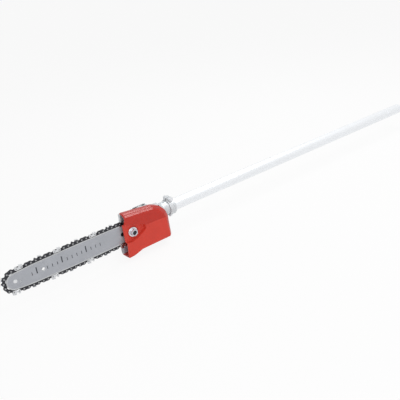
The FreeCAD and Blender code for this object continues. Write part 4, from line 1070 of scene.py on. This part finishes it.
def outer_corners(sides):
    """The corners of the side faces that belong to the longest outline, not to a hole."""

    def beside(face):
        return (other for edge in face.edges for other in edge.link_faces)

    def span(loop):
        return max(corner.co.x for corner in loop) - min(corner.co.x for corner in loop)

    loops = [{corner for face in group for corner in face.verts}
             for group in connected(sides, beside)]
    return max(loops, key=span)


def bar_plate(name, node, rim_width):
    """A bar plate with eased edges and a ground rim round its enamel."""
    piece = merged_copy(name, node, "bar")
    piece.data.materials.append(finish_for("edge_steel"))
    work = opened(piece.data)
    bmesh.ops.dissolve_limit(work, angle_limit=math.radians(1.0), verts=work.verts,
                             edges=work.edges)
    flats = [face for face in work.faces if abs(face.normal.y) > FLAT_FACING]
    outer = outer_corners([face for face in work.faces if abs(face.normal.y) < EDGE_FACING])
    for side in (-1, 1):
        flat = [face for face in flats if face.normal.y * side > 0]
        rim = bmesh.ops.inset_region(work, faces=flat, thickness=rim_width * MM,
                                     use_even_offset=True, use_boundary=True)["faces"]
        for face in rim:
            if any(corner in outer for corner in face.verts):
                face.material_index = 1
    for face in work.faces:
        if abs(face.normal.y) < EDGE_FACING:
            face.material_index = 1
    bmesh.ops.triangulate(work, faces=work.faces)
    put_back(work, piece.data)
    return soften(piece, 30.0)


class POLESAW_OT_bar(PoleSawOperator, bpy.types.Operator):
    """Build the guide bar's two plates: satin enamel, ground rim and a plain depth scale"""

    bl_idname = "polesaw.bar"
    bl_label = "Guide Bar"

    def execute(self, context):
        sizes = in_millimetres(context.scene.pole_saw_small)
        for name, node in (("bar_near_plate", "bar_plate_near"),
                           ("bar_far_plate", "bar_plate_far")):
            hand_over(bar_plate(name, node, sizes.rim_width), "guide_bar", "bar", node)
        return {"FINISHED"}


# The saw chain


# The loop starts near this station, in millimetres.
LOOP_START = -60.0
DRIVE_EASE = 0.15
STRAP_EASE = 0.25
TOP_EASE = 0.2
TOP_OVERHANG = 0.9
TOP_REACH = 0.5


def islands(node):
    """The middle of each separate solid of a node, in metres."""
    work = opened(frame["nodes"][node].data, NODE_MERGE)

    def beside(corner):
        return (edge.other_vert(corner) for edge in corner.link_edges)

    centres = []
    for group in connected(work.verts, beside):
        low = Vector(min(corner.co[axis] for corner in group) for axis in range(3))
        high = Vector(max(corner.co[axis] for corner in group) for axis in range(3))
        centres.append((low + high) / 2)
    work.free()
    return centres


def rivet_loop():
    """The rivets' centres in order round the bar: backwards along its top edge."""
    left = islands("chain_rivets")
    start = max(left, key=lambda spot: (spot.z > 0, -abs(spot.x - STUD_X - LOOP_START * MM)))
    left.remove(start)
    loop = [start]
    while left:
        here = loop[-1]
        pool = sorted(left, key=lambda spot: (spot - here).length)[:2]
        best = pool[0]
        if len(loop) == 1:
            best = max(pool, key=lambda spot: spot.x)
        loop.append(best)
        left.remove(best)
    return loop


def extruded(outline, near, far, chamfer):
    """Points and faces of a flat link: its outline between two planes, one face chamfered."""
    count = len(outline)
    centre = Vector((sum(x for x, _ in outline), sum(z for _, z in outline))) / count
    points = [Vector((x, far, z)) for x, z in outline]
    shy = near + chamfer if near < far else near - chamfer
    points += [Vector((x, shy, z)) for x, z in outline]
    for x, z in outline:
        inward = (centre - Vector((x, z))).normalized() * chamfer
        points.append(Vector((x + inward.x, near, z + inward.y)))
    faces = [tuple(range(count)), tuple(range(3 * count - 1, 2 * count - 1, -1))]
    for row in (0, count):
        for index in range(count):
            after = (index + 1) % count
            faces.append((row + index, row + count + index, row + count + after, row + after))
    return points, faces


def joined(*shapes):
    points, faces = [], []
    for more_points, more_faces in shapes:
        first = len(points)
        points += more_points
        faces += [tuple(first + index for index in face) for face in more_faces]
    return points, faces


STRAP = (
    (-7.9, 0.0), (-7.3, 2.0), (-5.4, 3.1), (-3.2, 3.2), (0, 2.7), (3.2, 3.2), (5.4, 3.1),
    (7.3, 2.0), (7.9, 0.0), (7.2, -1.9), (5.2, -2.9), (0, -2.5), (-5.2, -2.9), (-7.2, -1.9),
)
DRIVE_LINK = (
    (-7.6, 0.4), (-6.9, 2.1), (-5.0, 2.9), (-2.6, 2.3), (0, 1.2), (2.6, 2.3), (5.0, 2.9),
    (6.9, 2.1), (7.6, 0.4), (7.0, -1.5), (5.4, -3.0), (3.6, -5.4), (1.6, -7.4), (-0.6, -8.5),
    (-2.6, -8.2), (-2.0, -6.2), (-3.4, -4.4), (-5.6, -3.0), (-7.1, -1.5),
)
CUTTER_SIDE = (
    (-7.9, 0.0), (-7.6, 2.2), (-7.0, 4.3), (-6.0, 5.2), (-4.4, 5.1), (-3.5, 3.6), (-2.3, 2.1),
    (-0.7, 1.9), (0.5, 3.1), (0.9, 5.8), (4.0, 5.3), (7.2, 4.6), (7.9, 1.6), (7.2, -1.9),
    (5.2, -2.9), (0, -2.5), (-5.2, -2.9), (-7.2, -1.9),
)
TOP_PLATE = ((0.3, 5.9), (7.3, 4.7), (7.1, 3.9), (1.0, 4.9))


def link_part(name, shapes):
    points, faces = joined(*shapes)
    part = piece_from(name, [point * MM for point in points], faces)
    return soften(outward(part), 28.0)


class POLESAW_OT_chain(PoleSawOperator, bpy.types.Operator):
    """Build the saw chain: drive links, tie straps, cutters and rivets round the bar"""

    bl_idname = "polesaw.chain"
    bl_label = "Saw Chain"

    def execute(self, context):
        sizes = in_millimetres(context.scene.pole_saw_chain)
        rivets = rivet_loop()
        count = len(rivets)
        plane = middle("chain_drive_links").y
        strap_low, strap_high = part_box("chain_straps_near")
        strap_in, strap_out = (plane - strap_high.y) / MM, (plane - strap_low.y) / MM
        spots, turns = [], []
        for here, there in zip(rivets, rivets[1:] + rivets[:1]):
            run, centre = there - here, (here + there) / 2
            spots.append(Vector((centre.x, plane, centre.z)))
            turns.append((0.0, -math.atan2(run.z, run.x), 0.0))

        def nearest_slots(node):
            """The slots that a node's solids fill."""
            return sorted({
                min(range(count), key=lambda slot: (spots[slot] - centre).xz.length)
                for centre in islands(node)
            })

        parity = nearest_slots("chain_drive_links")[0] % 2
        drives = range(parity, count, 2)
        ties = range(1 - parity, count, 2)
        half = half_size("chain_drive_links").y
        links = [("chain_drives", "chain_drive_links", drives,
                  [extruded(DRIVE_LINK, -half, half, DRIVE_EASE)])]
        cutters = []
        for side, way in (("near", -1), ("far", 1)):
            cut = [slot if slot in ties else (slot + 1) % count
                   for slot in nearest_slots(f"chain_cutters_{side}")]
            near, far = way * strap_out, way * strap_in
            links.append((f"chain_{side}_ties", f"chain_straps_{side}",
                          [slot for slot in ties if slot not in cut],
                          [extruded(STRAP, near, far, STRAP_EASE)]))
            cutters.append((f"chain_{side}_cutters", f"chain_cutters_{side}", cut,
                            [extruded(CUTTER_SIDE, near, far, STRAP_EASE),
                             extruded(TOP_PLATE, near + way * TOP_OVERHANG,
                                      -far - way * TOP_REACH, TOP_EASE)]))
        for name, node, slots, shapes in links + cutters:
            key = "cutter" if "cutters" in name else "chain_dark"
            piece = place_parts(name, link_part(name + "_part", shapes),
                                [spots[slot] for slot in slots],
                                [turns[slot] for slot in slots], key)
            self.drape(piece, key, node)
        head, reach = sizes.rivet_radius, half_size("chain_rivets").y
        end = [(-reach, 0), (-reach, head * 0.55), (-reach + 0.18, head * 0.9),
               (-reach + 0.45, head)]
        profile = end + [(-along, radius) for along, radius in reversed(end)]
        points, faces = turned(profile, ORIGIN, ALONG_Y, sizes.rivet_sides)
        part = soften(outward(piece_from("rivet_part", points, faces)), 40.0)
        at_plane = [Vector((spot.x, plane, spot.z)) for spot in rivets]
        piece = place_parts("chain_rivet_heads", part, at_plane, [(0, 0, 0)] * count, "rivet")
        self.drape(piece, "chain_dark", "chain_rivets")
        return {"FINISHED"}

    def drape(self, piece, slot, node):
        """Bakes the piece's place into its mesh and hides the node it stands for."""
        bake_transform(piece)
        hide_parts(node)


# Nut, stud, screws and caps


COUNTERSINK = 0.7
NUT_SIDES = 96
NUT_ROUND = 0.97
NUT_CHAMFER = math.tan(math.radians(30))
STUD_SIDES = 48
STUD_TAPER = 0.9
ROWS_PER_TURN = 8
HEAD_HEIGHT = 4.0
SHANK_RADIUS = 2.0
SCREW_SIDES = 24
PLUG_STATION = 84.0
PLUG_LEAN = 0.62
PLUG_RADIUS = 19.0
PLUG_PROFILE = (
    (-2, 0), (-2, 3.6), (0.5, 3.6), (0.9, 3.3), (0.9, 2.0), (0.7, 1.8), (-0.8, 1.8), (-0.8, 0),
)
PLUG_SIDES = 36
CAP_SIDES = 64
CAP_SKIRT = 6.0
RIB_HALF = 0.3
RIB_EASE = 0.1
RIB_RISE = 0.4
RIB_PLACE = 0.955
RIB = ((-0.4, 0.0), (0.35, 0.2), (0.4, 3.6), (0.1, 4.4), (-0.4, 4.5))
KNURL_RINGS = 5


def hexagon(angle, flats):
    """The radius of a hexagon across flats, at an angle."""
    step = math.pi / 3
    return flats / 2 / math.cos((angle + step / 2) % step - step / 2)


def chamfered_nut(name, low, high, flats, bore, centre, key):
    """A hexagon nut, chamfered at both ends, with a countersunk bore. Axis along Y."""
    round_radius, wide, sides = flats / 2 * NUT_ROUND, bore + COUNTERSINK, NUT_SIDES
    hexagons = [hexagon(2 * math.pi * side / sides, flats) for side in range(sides)]
    drops = [max(0.0, corner - round_radius) * NUT_CHAMFER for corner in hexagons]
    rows = [
        [(wide, low)] * sides, [(round_radius, low)] * sides,
        [(corner, low + drop) for corner, drop in zip(hexagons, drops)],
        [(corner, high - drop) for corner, drop in zip(hexagons, drops)],
        [(round_radius, high)] * sides, [(wide, high)] * sides,
        [(bore, high - COUNTERSINK)] * sides, [(bore, low + COUNTERSINK)] * sides,
    ]
    return soften(outward(piece_from(name, *wound(rows, centre, closed=True), key)), 32.0)


def threaded_stud(name, low, high, radius, pitch, depth, centre, key):
    """A stud along Y with a real helix, running out to a chamfered end."""
    rows, sides, steps = [], STUD_SIDES, round((high - low) / pitch * ROWS_PER_TURN)
    for step in range(steps + 1):
        along = low + (high - low) * step / steps
        core = radius - STUD_TAPER * max(0.0, 1.0 - (along - low))
        waves = (abs(((along / pitch + side / sides) % 1.0) * 2 - 1) for side in range(sides))
        rows.append([(core - depth * wave, along) for wave in waves])
    return soften(outward(piece_from(name, *wound(rows, centre, closed=False), key)), 40.0)


def socket_screw(name, length_mm, head, head_height, shank, socket):
    """A socket-head screw along Z: head at the top, with a knurl and a round socket."""
    profile = [(-length_mm, 0), (-length_mm, shank - 0.4), (-length_mm + 0.5, shank), (0, shank),
               (0, head - 0.15), (0.2, head)]
    for number in range(KNURL_RINGS):
        height = 0.4 + (head_height - 1.0) * number / KNURL_RINGS
        profile += [(height, head), (height + 0.2, head - 0.12), (height + 0.35, head)]
    profile += [(head_height - 0.35, head), (head_height, head - 0.35), (head_height, socket)]
    profile += [(head_height - 0.25, socket * 0.9), (head_height * 0.4, socket * 0.9),
                (head_height * 0.4, 0)]
    return soften(outward(piece_from(name, *turned(profile, ORIGIN, ALONG_Z, SCREW_SIDES))), 35.0)


class POLESAW_OT_nut(PoleSawOperator, bpy.types.Operator):
    """Build the bar nut with chamfered corners and the stud with its thread"""

    bl_idname = "polesaw.nut"
    bl_label = "Bar Nut and Stud"

    def execute(self, context):
        sizes = in_millimetres(context.scene.pole_saw_small)
        axis, radius = Vector((STUD_X, 0, 0)), half_size("bar_stud").z
        low, high = (corner.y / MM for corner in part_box("bar_nut"))
        flats = half_size("bar_nut").z * 2
        nut = chamfered_nut("nut_hexagon", low, high, flats, radius, axis, "nut")
        hand_over(nut, "nut", "zinc", "bar_nut")
        low, high = (corner.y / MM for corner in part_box("bar_stud"))
        # The stud's black oxide is a real finish, and its dark end also serves as painted shade:
        # the dark spot of the shadow inside the nut.
        stud = threaded_stud("stud_threaded", low, high, radius, sizes.thread_pitch,
                             sizes.thread_depth, axis, "black_screw")
        hand_over(stud, "head", "black_screw", "bar_stud")
        return {"FINISHED"}


class POLESAW_OT_screws(PoleSawOperator, bpy.types.Operator):
    """Build the socket screws of the far cap"""

    bl_idname = "polesaw.screws"
    bl_label = "Screws"

    def execute(self, context):
        nodes = [f"cap_screw_{number}" for number in range(1, 5)]
        half = half_size(nodes[0])
        below = Vector((0, half.y - HEAD_HEIGHT, 0)) * MM
        spots = [middle(node) + below for node in nodes]
        part = socket_screw("cap_screw_part", half.y * 2 - HEAD_HEIGHT, half.x, HEAD_HEIGHT,
                            SHANK_RADIUS, half.x * 0.5)
        facing = [(-math.pi / 2, 0, 0)] * len(spots)
        piece = place_parts("cap_screws", part, spots, facing, "zinc")
        hand_over(piece, "head", "zinc", *nodes)
        return {"FINISHED"}


class POLESAW_OT_grease_plug(PoleSawOperator, bpy.types.Operator):
    """Build the black grease plug on the gearcase's shoulder"""

    bl_idname = "polesaw.grease_plug"
    bl_label = "Grease Plug"

    def execute(self, context):
        out = Vector((0.0, -PLUG_LEAN, 1.0)).normalized()
        centre = at(PLUG_STATION, 0, 0) + out * PLUG_RADIUS * MM
        shape = turned(PLUG_PROFILE, centre, out, PLUG_SIDES)
        plug = soften(outward(piece_from("grease_plug", *shape, "black_screw")), 35.0)
        hand_over(plug, "head", "black_screw")
        return {"FINISHED"}


class POLESAW_OT_filler(PoleSawOperator, bpy.types.Operator):
    """Build the oil filler cap with its grip ribs"""

    bl_idname = "polesaw.filler"
    bl_label = "Filler Cap"

    def execute(self, context):
        sizes = in_millimetres(context.scene.pole_saw_small)
        low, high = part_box("filler_cap")
        centre, radius = (low + high) / 2, half_size("filler_cap").x
        top, base = high.z / MM, low.z / MM
        skirt = top - CAP_SKIRT
        profile = [(base, 0), (base, radius * 0.62), (skirt, radius * 0.62),
                   (skirt, radius * 0.93), (skirt + 0.5, radius * 0.96),
                   (top - 1.2, radius * 0.96), (top - 0.4, radius * 0.90), (top, radius * 0.8),
                   (top, radius * 0.5), (top - 0.5, radius * 0.46), (top - 0.5, 0)]
        axis = Vector((centre.x, centre.y, 0))
        shape = turned(profile, axis, ALONG_Z, CAP_SIDES)
        body = soften(outward(piece_from("filler_body", *shape, "black_plastic")), 30.0)
        hand_over(body, "filler_cap", "black_plastic", "filler_cap")
        rib = link_part("rib_part", [extruded(RIB, -RIB_HALF, RIB_HALF, RIB_EASE)])
        round_cap, height = radius * RIB_PLACE, skirt + RIB_RISE
        spots = [axis + Vector((across * round_cap, up * round_cap, height)) * MM
                 for across, up in ring(sizes.cap_ribs)]
        turns = [(0.0, 0.0, 2 * math.pi * number / sizes.cap_ribs)
                 for number in range(sizes.cap_ribs)]
        ribs = place_parts("filler_ribs", rib, spots, turns, "black_plastic")
        hand_over(ribs, "filler_cap", "black_plastic")
        return {"FINISHED"}


class POLESAW_OT_finishes(PoleSawOperator, bpy.types.Operator):
    """Give every frame node the procedural finish of its material slot"""

    bl_idname = "polesaw.finishes"
    bl_label = "Frame Finishes"

    def execute(self, context):
        for row in frame["record"]["subparts"]:
            node = frame["nodes"][row["node"]]
            finish = finish_for(row["material_slot"])
            for slot in node.material_slots:
                slot.material = finish
        return {"FINISHED"}


# The studio


CAMERA_PLACE = (-1.407, -0.952, 0.480)
CAMERA_RIGHT = (0.77830037, -0.6138499, -0.13204859)
CAMERA_DOWN = (-0.34038133, -0.23576042, -0.91025138)
CAMERA_AHEAD = (0.52762589, 0.75339586, -0.39243547)
SENSOR_WIDTH = 36.0
CLIP_START = 0.01
HEAD_MIDDLE = at(0, -30, 0)
FLOOR_GAP = 0.0004
FLOOR_REACH = 30.0
FLOOR_SIDES = 96
FLOOR_GLOW = 0.9

# The lamps' places and aims, from the head, and their sizes, all in metres.
OVERHEAD = ((0.9, -0.12, 1.5), (0.3, 0.0, 0.0), (2.0, 0.42))
FRONTAL = ((-0.9, -1.7, 0.9), (0.0, 0.0, 0.0), (1.8, 1.4))


def background_rays(tree):
    """1 for rays that see the background straight, in a gloss or through a clear piece."""
    path = tree.add("ShaderNodeLightPath")
    seen = tree.math("ADD", path.outputs["Is Camera Ray"], path.outputs["Is Glossy Ray"],
                     clamp=True)
    return tree.math("ADD", seen, path.outputs["Is Transmission Ray"], clamp=True)


def studio_world(ambient):
    world = bpy.data.worlds.new("studio")
    bpy.context.scene.world = world
    world.use_nodes = True
    tree = Tree(world.node_tree)
    plain_light = tree.tree.nodes["Background"]
    plain_light.inputs["Color"].default_value = (1, 1, 1, 1)
    plain_light.inputs["Strength"].default_value = ambient
    white = tree.add("ShaderNodeBackground", {"Color": (1, 1, 1, 1), "Strength": 1.0})
    tree.surface(background_rays(tree), plain_light.outputs[0], white.outputs[0], "World Output")


def studio_floor(base):
    """A round floor, just under the object, that reads pale and keeps its shadow."""
    centre = Vector((STUD_X, 0, CAD_BOX[0].z - FLOOR_GAP))
    edge = [centre + Vector((*spot, 0)) * FLOOR_REACH for spot in ring(FLOOR_SIDES)]
    faces = [(0, 1 + side, 1 + (side + 1) % FLOOR_SIDES) for side in range(FLOOR_SIDES)]
    finish = Finish("pale_floor", base, roughness=0.9)
    finish.mottle(3.0, 0.995, 1.0)
    glow = finish.add("ShaderNodeEmission", {"Color": (1, 1, 1, 1), "Strength": 1.0})
    share = finish.math("MULTIPLY", background_rays(finish), FLOOR_GLOW)
    finish.done()
    finish.surface(share, finish.shader.outputs[0], glow.outputs[0], "Material Output")
    floor = piece_from("studio_floor", [centre, *edge], faces)
    floor.data.materials.append(finish.material)


def softbox(name, layout, power):
    place, aim, size = layout
    lamp = bpy.data.lights.new(name, "AREA")
    lamp.shape = "RECTANGLE"
    lamp.size, lamp.size_y = size
    lamp.energy = power
    holder = add_object(name, lamp)
    holder.location = HEAD_MIDDLE + Vector(place)
    holder.rotation_euler = (Vector(aim) - Vector(place)).to_track_quat("-Z", "Y").to_euler()


class POLESAW_OT_stage(PoleSawOperator, bpy.types.Operator):
    """Set up the pale floor, the softboxes and the camera"""

    bl_idname = "polesaw.stage"
    bl_label = "Studio"

    def execute(self, context):
        studio = context.scene.pole_saw_studio
        studio_world(studio.ambient)
        studio_floor(studio.floor)
        softbox("overhead", OVERHEAD, studio.top_power)
        softbox("frontal", FRONTAL, studio.front_power)
        lens = bpy.data.cameras.new("studio_camera")
        lens.lens = studio.lens
        lens.sensor_width = SENSOR_WIDTH
        lens.clip_start = CLIP_START
        holder = add_object("studio_camera", lens)
        right, down, ahead = (Vector(axis) for axis in (CAMERA_RIGHT, CAMERA_DOWN, CAMERA_AHEAD))
        turn = Matrix((right, -down, -ahead)).transposed()
        holder.matrix_world = Matrix.Translation(CAMERA_PLACE) @ turn.to_4x4()
        context.scene.camera = holder
        context.scene.view_settings.view_transform = "Standard"
        return {"FINISHED"}


class POLESAW_PT_panel(bpy.types.Panel):
    """The pole saw's pieces, in the order they are built"""

    bl_idname = "POLESAW_PT_panel"
    bl_label = "Pole Saw"
    bl_space_type = "VIEW_3D"
    bl_region_type = "UI"
    bl_category = "Pole Saw"

    def draw(self, context):
        for piece in PIECES:
            self.layout.operator(piece.bl_idname)
        for group in GROUPS:
            box = self.layout.box()
            values = getattr(context.scene, group)
            for key in type(values).__annotations__:
                box.prop(values, key)


PIECES = (
    POLESAW_OT_finishes, POLESAW_OT_castings, POLESAW_OT_tank, POLESAW_OT_bar, POLESAW_OT_chain,
    POLESAW_OT_cover, POLESAW_OT_nut, POLESAW_OT_screws,
    POLESAW_OT_grease_plug, POLESAW_OT_filler, POLESAW_OT_stage,
)
GROUPS = {
    "pole_saw_colours": PoleSawColours, "pole_saw_cover": PoleSawCover,
    "pole_saw_chain": PoleSawChain, "pole_saw_small": PoleSawSmallParts,
    "pole_saw_studio": PoleSawStudio,
}


def register():
    for kind in (*GROUPS.values(), *PIECES, POLESAW_PT_panel):
        bpy.utils.register_class(kind)
    for name, kind in GROUPS.items():
        setattr(bpy.types.Scene, name, PointerProperty(type=kind))


def unregister():
    for name in GROUPS:
        delattr(bpy.types.Scene, name)
    for kind in reversed((*GROUPS.values(), *PIECES, POLESAW_PT_panel)):
        bpy.utils.unregister_class(kind)


def main():
    """Builds every piece in order."""
    register()
    for piece in PIECES:
        area, name = piece.bl_idname.split(".")
        getattr(getattr(bpy.ops, area), name)()


if __name__ == "__main__":
    main()
